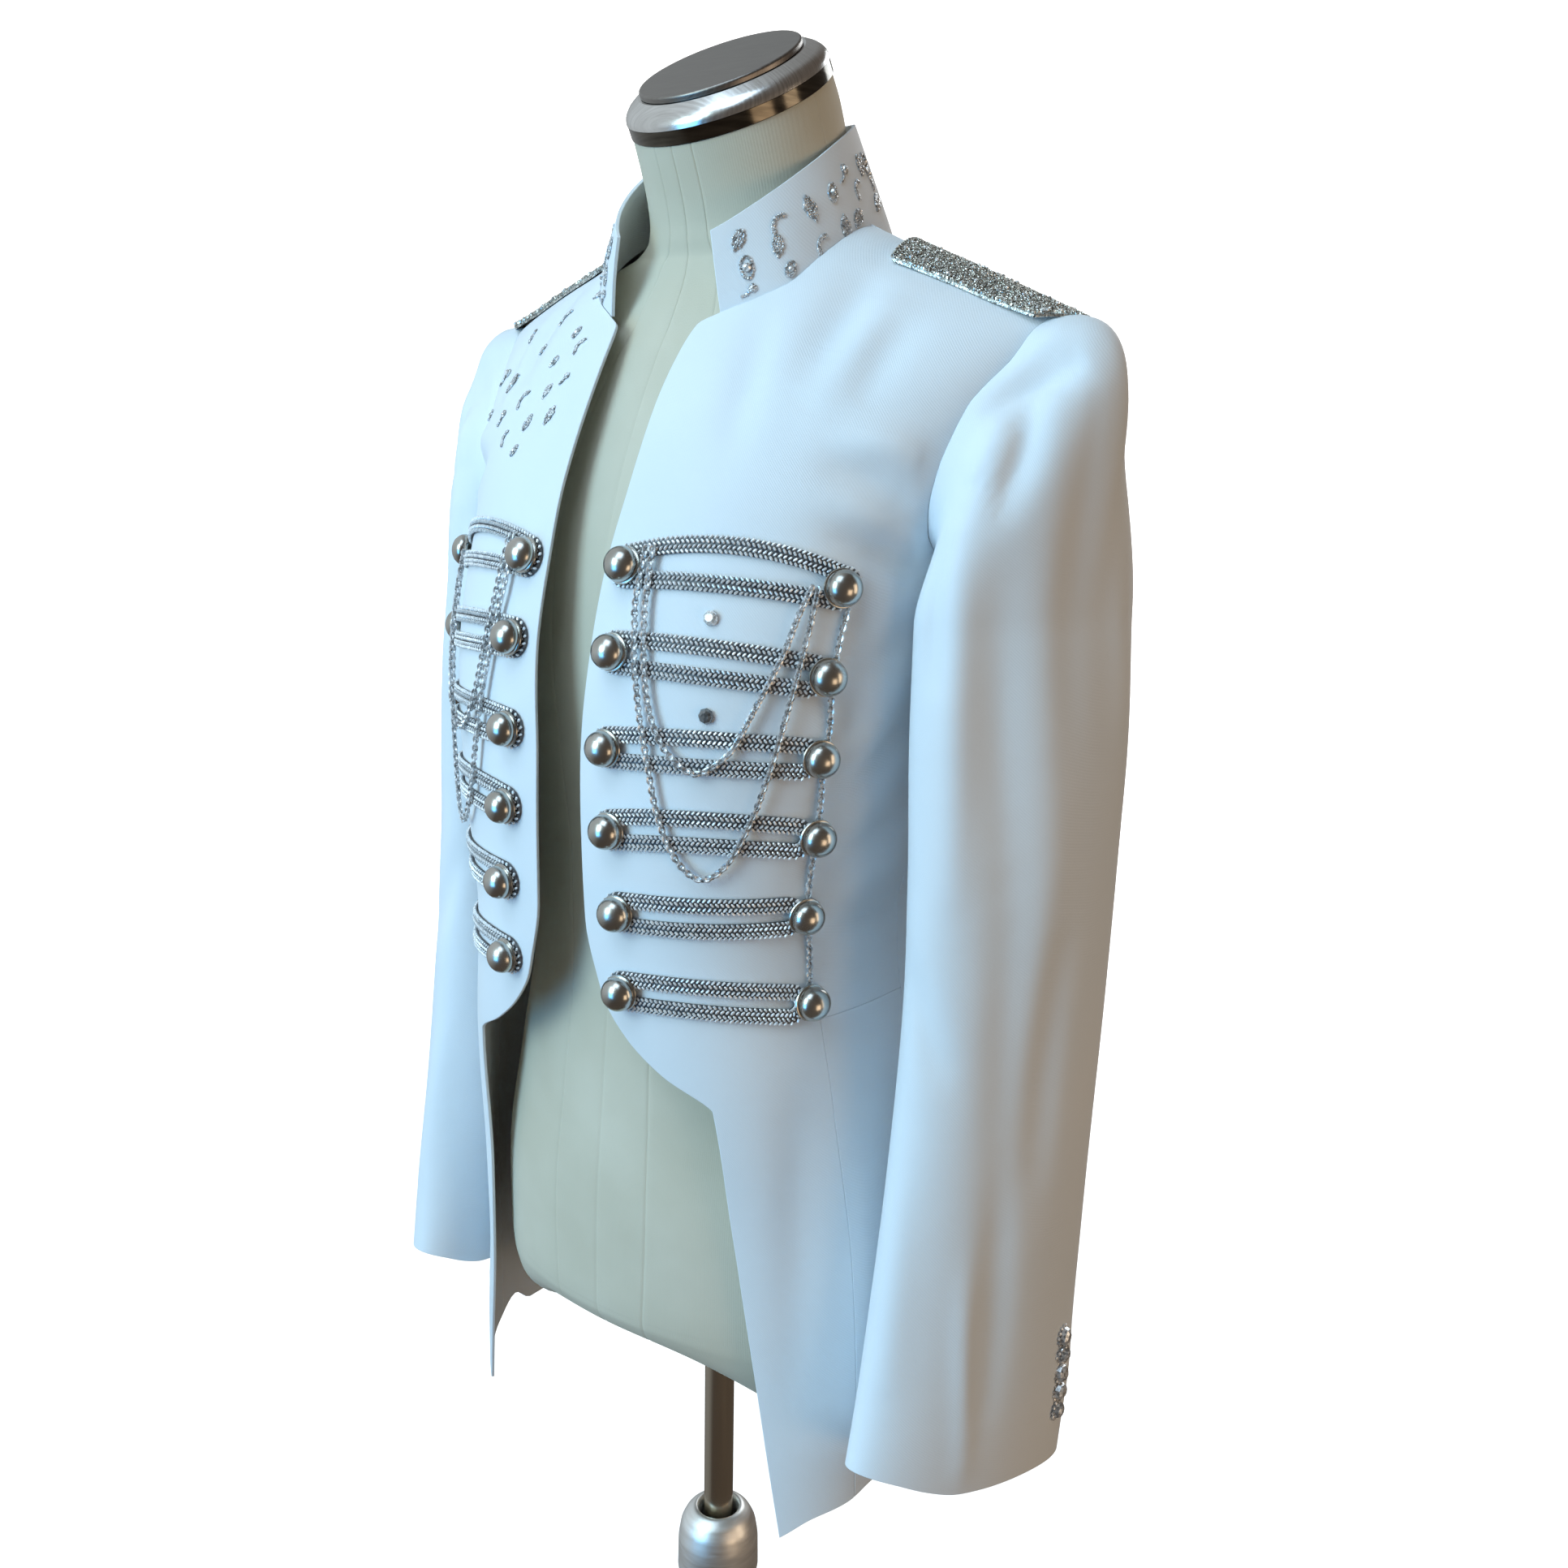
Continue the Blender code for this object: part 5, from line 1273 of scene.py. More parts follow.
def frog_route(frog, drop_girth):
    """The middle line of one braid loop, which closes on itself, as girth and height."""
    first = frog is FROGS[0]
    radius = LOOP_RADIUS
    if first:
        end = frog.outer
    else:
        end = drop_girth(frog.outer_height) - CHAIN_RADIUS - SEAM - BRAID_WIDTH / 2 - radius
    start = np.array([frog.inner, frog.inner_height])
    slope = (frog.outer_height - frog.inner_height) / (frog.outer - frog.inner)
    stop = np.array([end, frog.inner_height + slope * (end - frog.inner)])
    share = np.linspace(0, 1, RUN_STEPS + 1)[:, None]
    middle = start + (stop - start) * share
    bow = 4 * share * (1 - share)
    upper = middle + np.array([0, 1]) * (radius + frog.upper_bow * bow)
    lower = (middle + np.array([0, 1]) * (frog.lower_bow * bow - radius))[::-1]
    bend = np.radians(np.linspace(90, -90, BEND_STEPS + 2)[1:-1])[:, None]
    round_outer = stop + radius * np.concatenate([np.cos(bend), np.sin(bend)], 1)
    round_inner = start - radius * np.concatenate([np.cos(bend), np.sin(bend)], 1)
    return np.concatenate([upper, round_outer, lower, round_inner])


CORD_PLACES = (-0.0034, -0.0013, 0.0013, 0.0034)
STITCH = 0.0026
STITCH_SLANT = 47
STITCH_SIZE = (0.00078, 0.00092, 0.00138)
STITCH_LIFT = BRAID_LIFT + 0.0016
INNER_ROWS = 0.002
INNER_LIFT = 0.0004
# A dark strip under the stitches, painted shade for the gaps between them: places across the loop's line,
# and lifts.
GAP_SHADE_RAILS = ((0.0041, BRAID_LIFT), (-0.0041, BRAID_LIFT), (-0.0036, 0.0020), (0.0036, 0.0020))


def dress_frogs(chart, look, base_look):
    """Each loop is two knitted cords side by side, with two rows of slanting stitches on each, over a dark
    strip of painted shade.
    """
    chain = np.array(DROP_CHAIN)[::-1]

    def drop_girth(height):
        return np.interp(height, chain[:, 1], chain[:, 0])

    for number, frog in enumerate(FROGS, 1):
        route = frog_route(frog, drop_girth)
        loop = np.concatenate([route, route[:1]])
        length = np.linalg.norm(np.diff(loop, axis=0), axis=1).sum()
        count = round(length / STITCH)
        route = even(loop, count)[:-1]
        along = unit(np.roll(route, -1, axis=0) - np.roll(route, 1, axis=0))
        sideways = np.stack([-along[:, 1], along[:, 0]], -1)
        parts = []
        for row, place in enumerate(CORD_PLACES):
            shift = 0.5 * STITCH * (row % 2) * along
            height = STITCH_LIFT + INNER_LIFT * (abs(place) < INNER_ROWS)
            spots, normals = chart(route + place * sideways + shift, height)
            ahead = chart(route + place * sideways + shift + 0.0005 * along, height)[0]
            forward = unit(ahead - spots)
            beside = np.cross(normals, forward)
            slant = radians(STITCH_SLANT if row % 2 else -STITCH_SLANT)
            axis = cos(slant) * forward + sin(slant) * beside
            frames = np.stack([np.cross(axis, normals), normals, axis], 1)
            swell = chance.uniform(0.9, 1.12, (count, 1))
            parts.append(scatter(GRAIN, spots, frames, np.array(STITCH_SIZE) * swell))
        stitches = joined(parts)
        rails = [chart(route + place * sideways, lift)[0] for place, lift in GAP_SHADE_RAILS]
        strip = np.stack(rails, 1).reshape(-1, 3)
        faces = tube_faces(count, len(GAP_SHADE_RAILS), closed=True)

        def build(name, side, mirror):
            add_piece(name + "_stitches", stitches[0] * mirror, stitches[1], look, "silver_braid", [name])
            add_piece(name + "_core", strip * mirror, faces, base_look, "silver_braid", sharp=60)

        both_sides(f"braid_{{side}}_{number}", build)


# A ball button: radius and height over its seat, with a thin rolled ring round its foot.
BALL = (
    *((0.0030, -0.0030), (0.0032, -0.0008), (0.0088, -0.0006), (0.0098, -0.0002), (0.0101, 0.0004)),
    *((0.0098, 0.0010), (0.0092, 0.0011), (0.0088, 0.0014), (0.0091, 0.0022), (0.00935, 0.0034)),
    *((0.0092, 0.0046), (0.0088, 0.0058), (0.0082, 0.0069), (0.0074, 0.0079), (0.0063, 0.0089)),
    *((0.0050, 0.0097), (0.0036, 0.0103), (0.0022, 0.0107), (0.0010, 0.0109)),
)
BALL_SIDES = 40


def dress_buttons(chart, look):
    shape = lathe_shape(BALL, BALL_SIDES)
    for place in ("inner", "outer"):
        for number, frog in enumerate(FROGS, 1):
            spot = [[getattr(frog, place), getattr(frog, place + "_height")]]
            seat, normal = chart(spot, BUTTON_LIFT)
            level = unit(np.cross([0, 0, 1], normal))
            stance = [[level[0], np.cross(normal, level)[0], normal[0]]]
            points, faces = scatter(shape, seat, stance, (1, 1, 1))

            def build(name, side, mirror):
                add_piece(name + "_ball", points * mirror, faces, look, "pewter", [name], sharp=50)

            both_sides(f"button_{{side}}_{place}_{number}", build)


CHAIN_PITCH = 0.00260
CHAIN_ROLL = 34


def dress_chains(chart, look):
    for name, places, lift, free in (
        ("swag_{side}_short", SHORT_SWAG, SWAG_LIFT, True),
        ("swag_{side}_long", LONG_SWAG, SWAG_LIFT, True),
        ("drop_chain_{side}", DROP_CHAIN, DROP_LIFT, False),
    ):
        route, normals = chart(smooth_route(places, CHAIN_PITCH), lift)
        forward = unit(np.gradient(route, axis=0))
        beside = unit(np.cross(normals, forward))
        turn = np.radians(np.where(np.arange(len(route)) % 2, CHAIN_ROLL, -CHAIN_ROLL))[:, None]
        level = np.cos(turn) * beside + np.sin(turn) * np.cross(forward, beside)
        frames = np.stack([forward, level, np.cross(forward, level)], 1)
        points, faces = scatter(LINK, route, frames, (1, 1, 1))

        def build(name, side, mirror):
            made = add_piece(name + "_links", points * mirror, faces, look, "chain_steel", [name], sharp=60)

        both_sides(name, build)


# Stones


CHEST_CLUSTERS = table(
    "place angle length kind",
    ((-0.0638, -0.0375, 1.3763), 50, 0.009, "leaf"),
    ((-0.0890, -0.0399, 1.3643), 62, 0.012, "crescent"),
    ((-0.0643, -0.0566, 1.3551), 60, 0.009, "ring"),
    ((-0.0530, -0.0654, 1.3472), 66, 0.011, "crescent"),
    ((-0.1300, -0.0235, 1.3523), 55, 0.010, "leaf"),
    ((-0.0994, -0.0502, 1.3468), 62, 0.008, "ring"),
    ((-0.0745, -0.0653, 1.3399), 66, 0.008, "leaf"),
    ((-0.1430, -0.0350, 1.3290), 68, 0.012, "drop"),
    ((-0.1163, -0.0561, 1.3265), 72, 0.013, "leaf"),
    ((-0.0660, -0.0782, 1.3228), 60, 0.010, "leaf"),
    ((-0.0522, -0.0778, 1.3290), 58, 0.008, "drop"),
    ((-0.0905, -0.0732, 1.3178), 66, 0.013, "crescent"),
    ((-0.1400, -0.0450, 1.3060), 80, 0.008, "ring"),
    ((-0.1116, -0.0697, 1.3066), 75, 0.010, "drop"),
    ((-0.0759, -0.0852, 1.3059), 76, 0.010, "leaf"),
    ((-0.0529, -0.0886, 1.3093), 72, 0.011, "leaf"),
    ((-0.0963, -0.0821, 1.2960), 80, 0.010, "crescent"),
    ((-0.0791, -0.0919, 1.2899), 70, 0.008, "ring"),
)
COLLAR_CLUSTERS = table(
    "place angle length kind",
    ((0.0455, -0.0472, 1.4001), 70, 0.012, "leaf"),
    ((0.0503, -0.0460, 1.3860), 100, 0.014, "ring"),
    ((0.0521, -0.0460, 1.3742), 40, 0.009, "drop"),
    ((0.0586, -0.0320, 1.4092), 60, 0.014, "crescent"),
    ((0.0609, -0.0339, 1.3974), 90, 0.012, "leaf"),
    ((0.0673, -0.0309, 1.3857), 70, 0.010, "ring"),
    ((0.0659, -0.0134, 1.4175), 110, 0.014, "leaf"),
    ((0.0716, -0.0111, 1.3996), 65, 0.014, "crescent"),
    ((0.0679, 0.0029, 1.4268), 80, 0.012, "ring"),
    ((0.0660, 0.0145, 1.4376), 60, 0.012, "drop"),
    ((0.0732, 0.0081, 1.4094), 95, 0.014, "leaf"),
    ((0.0685, 0.0241, 1.4311), 75, 0.012, "crescent"),
    ((0.0726, 0.0198, 1.4155), 60, 0.012, "leaf"),
    ((0.0630, 0.0327, 1.4445), 85, 0.012, "leaf"),
    ((0.0607, 0.0396, 1.4471), 70, 0.012, "ring"),
    ((0.0638, 0.0419, 1.4380), 95, 0.012, "drop"),
    ((0.0676, 0.0433, 1.4261), 60, 0.012, "leaf"),
)
CUFF_STONES = (
    *((0.235, 0.0205, 0.8079), (0.2351, 0.0199, 0.7963), (0.2351, 0.0193, 0.7853)),
    *((0.2352, 0.0186, 0.7742), (0.235, 0.0175, 0.7626)),
)
CUFF_STONE = (0.0056, 0.0050, 0.0058)
CUFF_STONE_LIFT = 0.0010
CUFF_RING = 0.0056
CUFF_BEADS = 12
CUFF_BEAD = 0.0013
FRONT_STONES = ((0.0869, -0.1148, 1.2133), (0.0899, -0.1215, 1.1654))
FRONT_STONE = 0.0042
FRONT_STONE_LIFT = 0.0008
BEAD = 0.00094
BEAD_LIFT = 0.0004
# The arcs of a fan, as shares of half its length.
ARC_RADII = (0.75, 0.92, 1.10)
BEAD_PITCH = 0.00135


def cluster_places(kind, length):
    """Where one cluster's small beads and big stones go, in its own plane."""
    half = length / 2
    beads, stones = [], []
    if kind == "leaf":
        for x in np.arange(-half, half, BEAD_PITCH):
            wide = 0.30 * length * max(0.0, 1 - (x / half) ** 2) ** 0.7
            rows = max(1, int(2 * wide / BEAD_PITCH))
            beads += [(x, (row - (rows - 1) / 2) * BEAD_PITCH) for row in range(rows)]
    elif kind == "crescent":
        for radius in ARC_RADII:
            turns = np.arange(-1.05, 1.05, BEAD_PITCH / (radius * half))
            beads += [(radius * half * sin(t), radius * half * (cos(t) - ARC_RADII[0])) for t in turns]
    elif kind == "ring":
        turns = np.arange(0, 2 * np.pi, BEAD_PITCH / (0.62 * half))
        beads = [(0.80 * half * cos(t), 0.46 * half * sin(t)) for t in turns]
        stones = [(0.0, 0.0)]
    else:
        turns = np.arange(0, 2 * np.pi, BEAD_PITCH / (0.34 * half))
        beads = [(0.55 * half + 0.34 * half * cos(t), 0.34 * half * sin(t)) for t in turns]
        beads += [(x, 0.10 * half * sin(x / half * 4)) for x in np.arange(-half, 0.2 * half, BEAD_PITCH)]
        stones = [(0.55 * half, 0.0)]
    return np.array(beads), np.array(stones).reshape(-1, 2)


def seat_on(surface, place):
    """The place moved onto a surface's grid, with the outward direction there."""
    points, normals = (values.reshape(-1, 3) for values in surface)
    near = np.linalg.norm(points - np.array(place), axis=1).argmin()
    normal = normals[near]
    return np.array(place) + ((points[near] - place) @ normal) * normal, normal


def lay_clusters(surface, clusters, mirror):
    """The beads and the big stones of these clusters, as two meshes."""
    beads, stones = [], []
    for cluster in clusters:
        spot, normal = seat_on(surface, np.array(cluster.place) * mirror)
        level = unit(np.cross([0, 0, 1.0], normal))
        up = np.cross(normal, level)
        turn = radians(cluster.angle)
        along = cos(turn) * level + sin(turn) * up
        beside = np.cross(normal, along)
        small, big = cluster_places(cluster.kind, cluster.length)
        for flat, shape, size, found, tilt in (
            (small, GEM, BEAD, beads, 0.22),
            (big, PEARL, 0.17 * cluster.length, stones, 0.05),
        ):
            for x, y in flat:
                rough = spot + x * along + y * beside
                seat, lean = seat_on(surface, rough)
                frames = random_frames(lean[None], tilt, 1)
                scale = size * chance.uniform(0.85, 1.15)
                found.append(scatter(shape, [seat + BEAD_LIFT * lean], frames, scale))
    return joined(beads), joined(stones)


def dress_stones(dark_look, pale_look, smoke_look):
    front = (surfaces["front_right"], CHEST_CLUSTERS, np.array([1, 1, 1]), "chest_right")
    collar = [
        (surfaces["collar"], COLLAR_CLUSTERS, np.array([sign, 1, 1]), f"collar_{side}")
        for side, sign in (("left", 1), ("right", -1))
    ]
    for surface, clusters, mirror, name in (front, *collar):
        beads, stones = lay_clusters(surface, clusters, mirror)
        add_piece(name + "_beads", *beads, dark_look, "silver_braid", sharp=0)
        add_piece(name + "_stones", *stones, pale_look, "silver_braid", sharp=0)
    for side, sign in (("left", 1), ("right", -1)):
        mirror = np.array([sign, 1, 1])
        parts, bright = [], []
        for place in CUFF_STONES:
            seat, lean = seat_on(surfaces["sleeve_" + side], np.array(place) * mirror)
            frames = random_frames(lean[None], 0.15, 1)
            parts.append(scatter(GEM, [seat + CUFF_STONE_LIFT * lean], frames, CUFF_STONE))
            for turn in np.arange(CUFF_BEADS) * 2 * np.pi / CUFF_BEADS:
                spot = seat + CUFF_RING * (cos(turn) * frames[0, 0] + sin(turn) * frames[0, 1])
                tipped = random_frames(lean[None], 0.2, 1)
                bright.append(scatter(GEM, [spot + BEAD_LIFT * lean], tipped, CUFF_BEAD))
        add_piece(f"cuff_{side}_stones", *joined(parts), dark_look, "silver_braid", sharp=0)
        add_piece(f"cuff_{side}_beads", *joined(bright), pale_look, "silver_braid", sharp=0)
    for place, name, look in zip(FRONT_STONES, ("upper", "lower"), (pale_look, smoke_look)):
        seat, lean = seat_on(surfaces["front_left"], place)
        frames = random_frames(lean[None], 0.05, 1)
        shape = scatter(GEM, [seat + FRONT_STONE_LIFT * lean], frames, FRONT_STONE)
        add_piece(f"front_left_{name}_stone", *shape, look, "silver_braid", sharp=0)


# Dress form and stand


FORM_SEAMS = (0.0, 13.0, 90.0, 166.0, 180.0, 194.0, 270.0, 347.0)
SEAM_DEPTH = 0.0004
SEAM_WIDTH = 0.35


def form_ring(ring, turns):
    c, s = np.cos(turns), np.sin(turns)
    x = ring.half_width * np.sign(s) * np.abs(s) ** (2 / ring.power)
    depth = np.where(c > 0, ring.front_depth, ring.back_depth)
    y = -depth * np.sign(c) * np.abs(c) ** (2 / ring.power)
    lean = radians(ring.tilt)
    return np.stack([x, ring.back + y * cos(lean), ring.height + y * sin(lean)], -1)


def dress_form(look):
    """The torso, with a fine groove at each of its seams."""
    beside = np.array([-2.2, -1.0, -0.5, -0.2, 0.0, 0.2, 0.5, 1.0, 2.2]) * SEAM_WIDTH
    near_seams = np.concatenate([seam + beside for seam in FORM_SEAMS]) % 360
    turns = np.unique(np.concatenate([np.arange(FORM_COLUMNS) * 360 / FORM_COLUMNS, near_seams]).round(4))
    heights = finer([ring.height for ring in FORM], 5)
    columns = [curve_through(FORM, "height", key)(heights) for key in Ring._fields[1:]]
    rings = [Ring(*values) for values in zip(heights, *columns)]
    radian = np.radians(turns)
    upper = np.array([form_ring(ring, radian) for ring in rings])
    brim = upper[0]
    lower = []
    for size, hang in smooth_route(((0.02, 1.0), *UNDERSIDE, (1.0, 0.0)), 0.02)[:-1]:
        row = np.array([0, FORM[0].back * size**2, 0]) + (brim - [0, FORM[0].back, 0]) * [size, size, 1]
        aside = np.clip(np.abs(row[:, 0]) / LOBE_PLACE, 0, 1)
        row[:, 2] -= UNDERSIDE_DEPTH * min(hang, 1.0) * (CROTCH + (1 - CROTCH) * aside**3)
        lower.append(row)
    grid = np.concatenate([np.array(lower), upper])
    apart = np.abs((turns[:, None] - np.array(FORM_SEAMS) + 180) % 360 - 180).min(-1)
    middle = grid.mean(axis=1, keepdims=True)
    inward = unit((middle - grid) * [1, 1, 0.0] + 1e-9)
    size = np.clip(np.linalg.norm(grid - middle, axis=-1, keepdims=True) / 0.03, 0, 1)
    grid = grid + inward * (SEAM_DEPTH * np.exp(-((apart / SEAM_WIDTH) ** 2)))[None, :, None] * size
    add_loft("form_torso_cloth", list(grid), look, "form_linen", ["form_torso"], sharp=50)


def turned(profile, sides, axis=(0.0, 0.0, 1.0), centre=(0.0, 0.0, 0.0)):
    """Rings of points round an axis through centre, for a profile of radius and distance along it."""
    axis = np.array(axis, float)
    across = np.array([1.0, 0, 0])
    beside = np.cross(axis, across)
    turn = np.arange(sides) * 2 * np.pi / sides
    circle = np.cos(turn)[:, None] * across + np.sin(turn)[:, None] * beside
    return [np.array(centre) + distance * axis + radius * circle for radius, distance in profile]


def rounded(profile, radius, steps=4):
    """A profile of radius and height with each inner corner cut to a small arc."""
    profile = np.array(profile, float)
    made = [profile[0]]
    for before, corner, after in zip(profile, profile[1:], profile[2:]):
        start = corner + unit(before - corner) * min(radius, np.linalg.norm(before - corner) / 2.1)
        end = corner + unit(after - corner) * min(radius, np.linalg.norm(after - corner) / 2.1)
        for share in np.linspace(0, 1, steps):
            made.append((1 - share) ** 2 * start + 2 * share * (1 - share) * corner + share**2 * end)
    made.append(profile[-1])
    return made


def dress_neck_top(plate_look, cap_look, band_look):
    lean = radians(CAP_TILT)
    down = (0.0, sin(lean), -cos(lean))
    plate = ((0.0448, 0.0), *PLATE_PROFILE)
    for name, profile, look, slot, soft in (
        ("neck_plate", plate, plate_look, "brushed_bronze", 0.0006),
        ("neck_cap", CAP_PROFILE, cap_look, "satin_silver", 0.0020),
        ("neck_band", BAND_PROFILE, band_look, "dark_chrome", 0.0004),
    ):
        rings = turned(rounded(profile, soft), CAP_SIDES, down, CAP_PLATE)
        add_loft(name + "_turned", rings, look, slot, [name], sharp=30)


def dress_stand(pole_look, hub_look, base_look):
    top = FORM[0].height - UNDERSIDE_DEPTH * CROTCH - SEAM
    pole = [(POLE_RADIUS, height) for height in (POLE_BOTTOM, *POLE_RINGS, top)]
    base = rounded(BASE_PROFILE, 0.002)
    for name, profile, look, slot in (
        ("stand_pole", pole, pole_look, "brushed_steel"),
        ("stand_hub", rounded(HUB_PROFILE, 0.0022), hub_look, "dark_chrome"),
        ("stand_base", base, base_look, "dark_chrome"),
    ):
        add_loft(name + "_turned", turned(profile, STAND_SIDES), look, slot, [name], sharp=30)


# Studio


FLOOR_REACH = 5.0
SWEEP = 5.0
FLOOR_SIDES = 96
FLOOR_GLOW = 0.62
SWEEP_TURN = 80
SWEEP_RINGS = 13
# Beyond SHADE_REACH along +X the floor's colour turns to SHADE, a warm painted shade.
SHADE_REACH = (1.5, 6.0)
SHADE = (0.42, 0.36, 0.31)
SKY_BRIGHT_SIDE = (-0.80, -0.35, 0.48)
SKY_RANGE = (0.15, 0.85)
SKY_DIM = (0.11, 0.09, 0.075)
SKY_BRIGHT = (0.60, 0.66, 0.70)
LIGHTS = table(
    "name place target size power color",
    ("key", (-0.6, -2.6, 2.2), (0, 0, 1.1), (1.1, 1.4), 38, (0.66, 0.93, 1.0)),
    ("ceiling", (0.1, -1.4, 3.3), (0, 0, 1.1), (1.4, 1.4), 22, (0.57, 0.76, 0.94)),
    ("low_front", (-0.6, -2.8, 0.8), (0, 0, 0.9), (1.1, 1.2), 22, (0.12, 0.52, 1.0)),
    ("warm", (2.6, 0.9, 1.2), (0, 0, 1.1), (0.7, 1.8), 10, (1.0, 0.78, 0.56)),
    ("low_warm", (2.3, -0.5, 0.6), (0, 0, 1.1), (0.9, 1.0), 6, (1.0, 0.74, 0.50)),
    ("rear", (-0.3, 3.4, 2.6), (0, 0, 1.1), (1.6, 1.6), 32, (0.90, 0.96, 1.0)),
    ("backdrop", (-2.6, 3.0, 4.2), (-5.2, 6.6, 0.6), (2.4, 2.4), 330, (1.0, 1.0, 1.0)),
)


def add_camera():
    yaw, pitch, roll = (radians(angle) for angle in (CAMERA_YAW, CAMERA_PITCH, CAMERA_ROLL))
    level = np.array([-sin(yaw), cos(yaw), 0])
    right = np.array([cos(yaw), sin(yaw), 0])
    z = np.array([0, 0, 1.0])
    ahead = level * cos(pitch) - z * sin(pitch)
    up = z * cos(pitch) + level * sin(pitch)
    right, up = right * cos(roll) + up * sin(roll), up * cos(roll) - right * sin(roll)
    camera = bpy.data.objects.new("camera", bpy.data.cameras.new("camera"))
    camera.data.sensor_width = SENSOR
    camera.data.lens = SENSOR * FOCAL_PIXELS / PHOTO_SIDE
    camera.data.clip_start = 0.01
    turn = np.eye(4)
    turn[:3, 0], turn[:3, 1], turn[:3, 2], turn[:3, 3] = right, up, -ahead, CAMERA_PLACE
    camera.matrix_world = Matrix(turn.tolist())
    bpy.context.scene.collection.objects.link(camera)
    bpy.context.scene.camera = camera


def add_light(name, place, target, size, power, color):
    light = bpy.data.lights.new(name, "AREA")
    light.shape = "RECTANGLE"
    light.size, light.size_y = size
    light.energy = power
    light.color = color
    made = bpy.data.objects.new(name, light)
    aim = Vector(place) - Vector(target)
    made.rotation_euler = aim.to_track_quat("Z", "Y").to_euler()
    made.location = place
    bpy.context.scene.collection.objects.link(made)


def add_floor():
    """A round pale floor that sweeps up into a wall, darkening towards +X to a warm painted shade. Its glow
    lights nothing else.
    """
    look = Look("floor", (0.93, 0.93, 0.92), 0.9)
    across = look.nodes.new("ShaderNodeSeparateXYZ")
    look.link(look.place, across.inputs[0])
    shade = look.nodes.new("ShaderNodeMapRange")
    shade.inputs["From Min"].default_value, shade.inputs["From Max"].default_value = SHADE_REACH
    look.link(across.outputs["X"], shade.inputs["Value"])
    look.color(look.ramp(shade.outputs["Result"], (0.0, (0.94, 0.94, 0.93)), (1.0, SHADE)))
    sweep = np.radians(np.linspace(0, SWEEP_TURN, SWEEP_RINGS))
    profile = [(0.01, 0.0)] + [(FLOOR_REACH + SWEEP * sin(t), SWEEP * (1 - cos(t))) for t in sweep]
    rings = turned(profile, FLOOR_SIDES, centre=(0, 0, -0.0005))
    faces = [list(range(FLOOR_SIDES)), *tube_faces(len(rings), FLOOR_SIDES)]
    mesh = bpy.data.meshes.new("floor")
    mesh.from_pydata(np.concatenate(rings).tolist(), [], faces)
    mesh.shade_smooth()
    mesh.materials.append(look.material)
    look.shader.inputs["Emission Color"].default_value = (1.0, 1.0, 0.99, 1)
    look.shader.inputs["Emission Strength"].default_value = FLOOR_GLOW
    floor = bpy.data.objects.new("floor", mesh)
    floor.visible_diffuse = False
    floor.visible_glossy = False
    bpy.context.scene.collection.objects.link(floor)


def light_studio():
    """Bright and cool from the wearer's right, dim and warm from the left, with a soft key in front."""
    world = bpy.data.worlds.new("studio")
    world.use_nodes = True
    nodes, link = world.node_tree.nodes, world.node_tree.links.new
    toward = nodes.new("ShaderNodeVectorMath")
    toward.operation = "DOT_PRODUCT"
    toward.inputs[1].default_value = SKY_BRIGHT_SIDE
    link(nodes.new("ShaderNodeTexCoord").outputs["Generated"], toward.inputs[0])
    ramp = nodes.new("ShaderNodeValToRGB")
    spread = nodes.new("ShaderNodeMapRange")
    spread.inputs["From Min"].default_value, spread.inputs["From Max"].default_value = SKY_RANGE
    link(toward.outputs["Value"], spread.inputs["Value"])
    link(spread.outputs["Result"], ramp.inputs["Fac"])
    ramp.color_ramp.elements[0].color = (*SKY_DIM, 1)
    ramp.color_ramp.elements[1].color = (*SKY_BRIGHT, 1)
    link(ramp.outputs["Color"], nodes["Background"].inputs["Color"])
    bpy.context.scene.world = world
    for light in LIGHTS:
        add_light(*light)
    bpy.context.scene.view_settings.view_transform = "Standard"


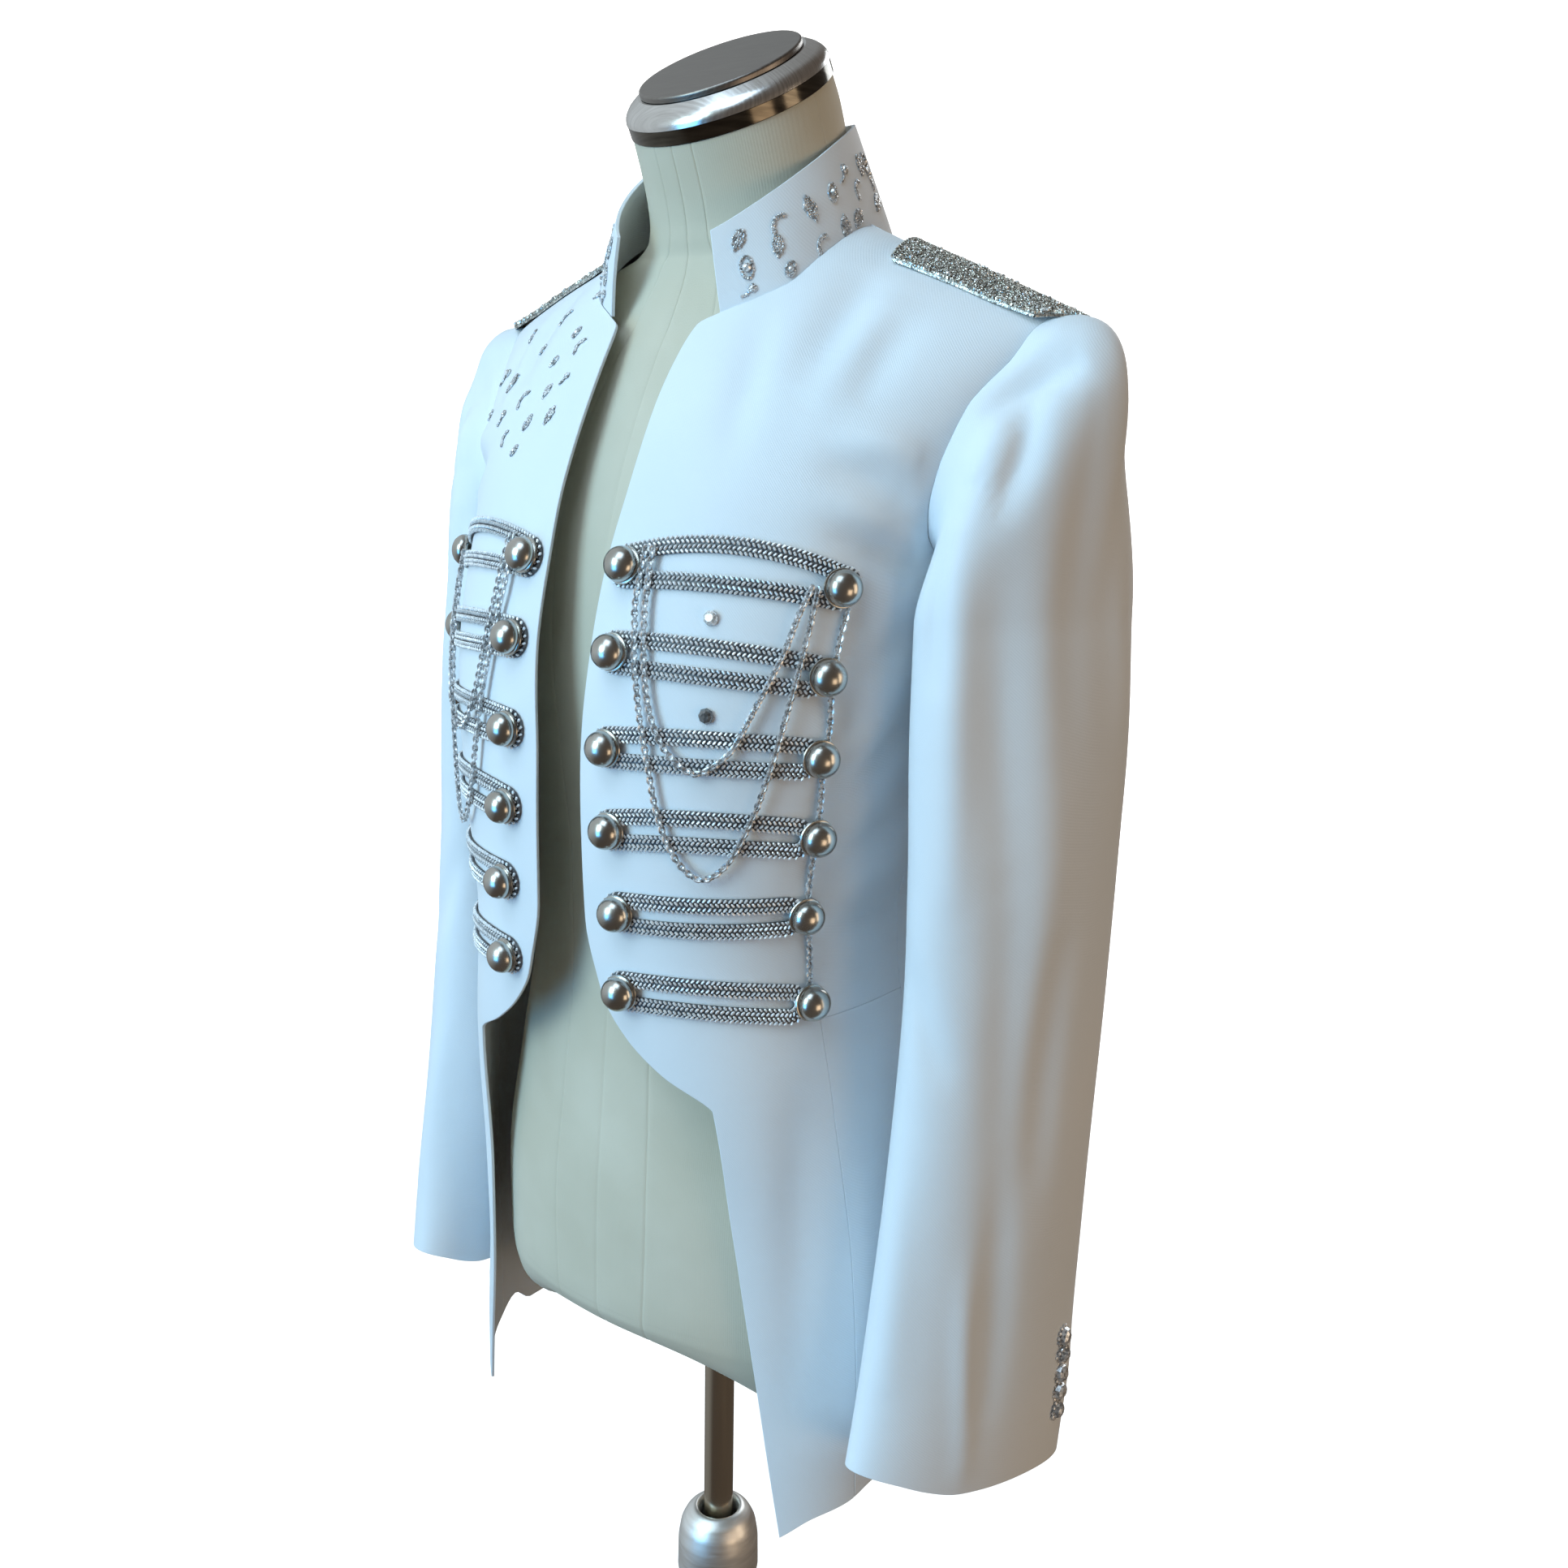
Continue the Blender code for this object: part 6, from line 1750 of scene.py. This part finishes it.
def main():
    white = cloth_look()
    braid = glint_look("braid_metal", (0.74, 0.77, 0.80), (1.0, 1.0, 1.0), 0.26, 420, 0.22)
    # The braid's dark strip under the stitches is painted shade for the gaps between them.
    braid_shade_look = glint_look("braid_core", (0.05, 0.05, 0.06), (0.16, 0.17, 0.18), 0.5, 420, 0.5)
    chain = glint_look("chain_metal", (0.26, 0.27, 0.28), (0.94, 0.96, 0.98), 0.28, 420, 0.6)
    pewter = glint_look("button_metal", (0.43, 0.42, 0.385), (0.53, 0.52, 0.485), 0.24, 60, 1.0)
    glitter = glitter_look()
    flakes = glint_look("flake_metal", (0.24, 0.235, 0.21), (0.84, 0.83, 0.77), 0.24, 900, 0.9)
    dark_stone = stone_look("dark_stone", (0.56, 0.57, 0.58), 0.15)
    smoke_stone = stone_look("smoke_stone", (0.16, 0.16, 0.16), 0.12)
    pale_stone = stone_look("pale_stone", (0.86, 0.88, 0.88), 0.10)
    linen = linen_look()
    plate = brushed_look("plate_metal", (0.21, 0.19, 0.175), (0.30, 0.275, 0.25), 0.36, (1, 30, 1))
    satin = brushed_look("cap_metal", (0.60, 0.59, 0.57), (0.76, 0.75, 0.73), 0.22, (1, 20, 1))
    dark = brushed_look("dark_metal", (0.070, 0.062, 0.050), (0.15, 0.135, 0.11), 0.13, (1, 1, 8))
    steel = brushed_look("pole_metal", (0.38, 0.33, 0.26), (0.62, 0.55, 0.44), 0.20, (1, 1, 0.05))
    hub = brushed_look("hub_metal", (0.86, 0.86, 0.83), (0.97, 0.97, 0.95), 0.42, (1, 1, 8))
    add_camera()
    chart = front_chart()
    dress_chains(chart, chain)
    dress_fronts(white)
    dress_skirts(white)
    dress_backs(white)
    dress_sleeves(white)
    dress_collar(white)
    dress_epaulettes(glitter, flakes, pale_stone)
    dress_frogs(chart, braid, braid_shade_look)
    dress_buttons(chart, pewter)
    dress_stones(dark_stone, pale_stone, smoke_stone)
    dress_form(linen)
    dress_neck_top(plate, satin, dark)
    dress_stand(steel, hub, dark)
    add_floor()
    light_studio()


surfaces = {}
ARMHOLE_LINE = armhole_ring()(np.arange(0, 360, 3.0))[0]
NECKLINE = neckline()
main()

bpy.context.view_layer.update()
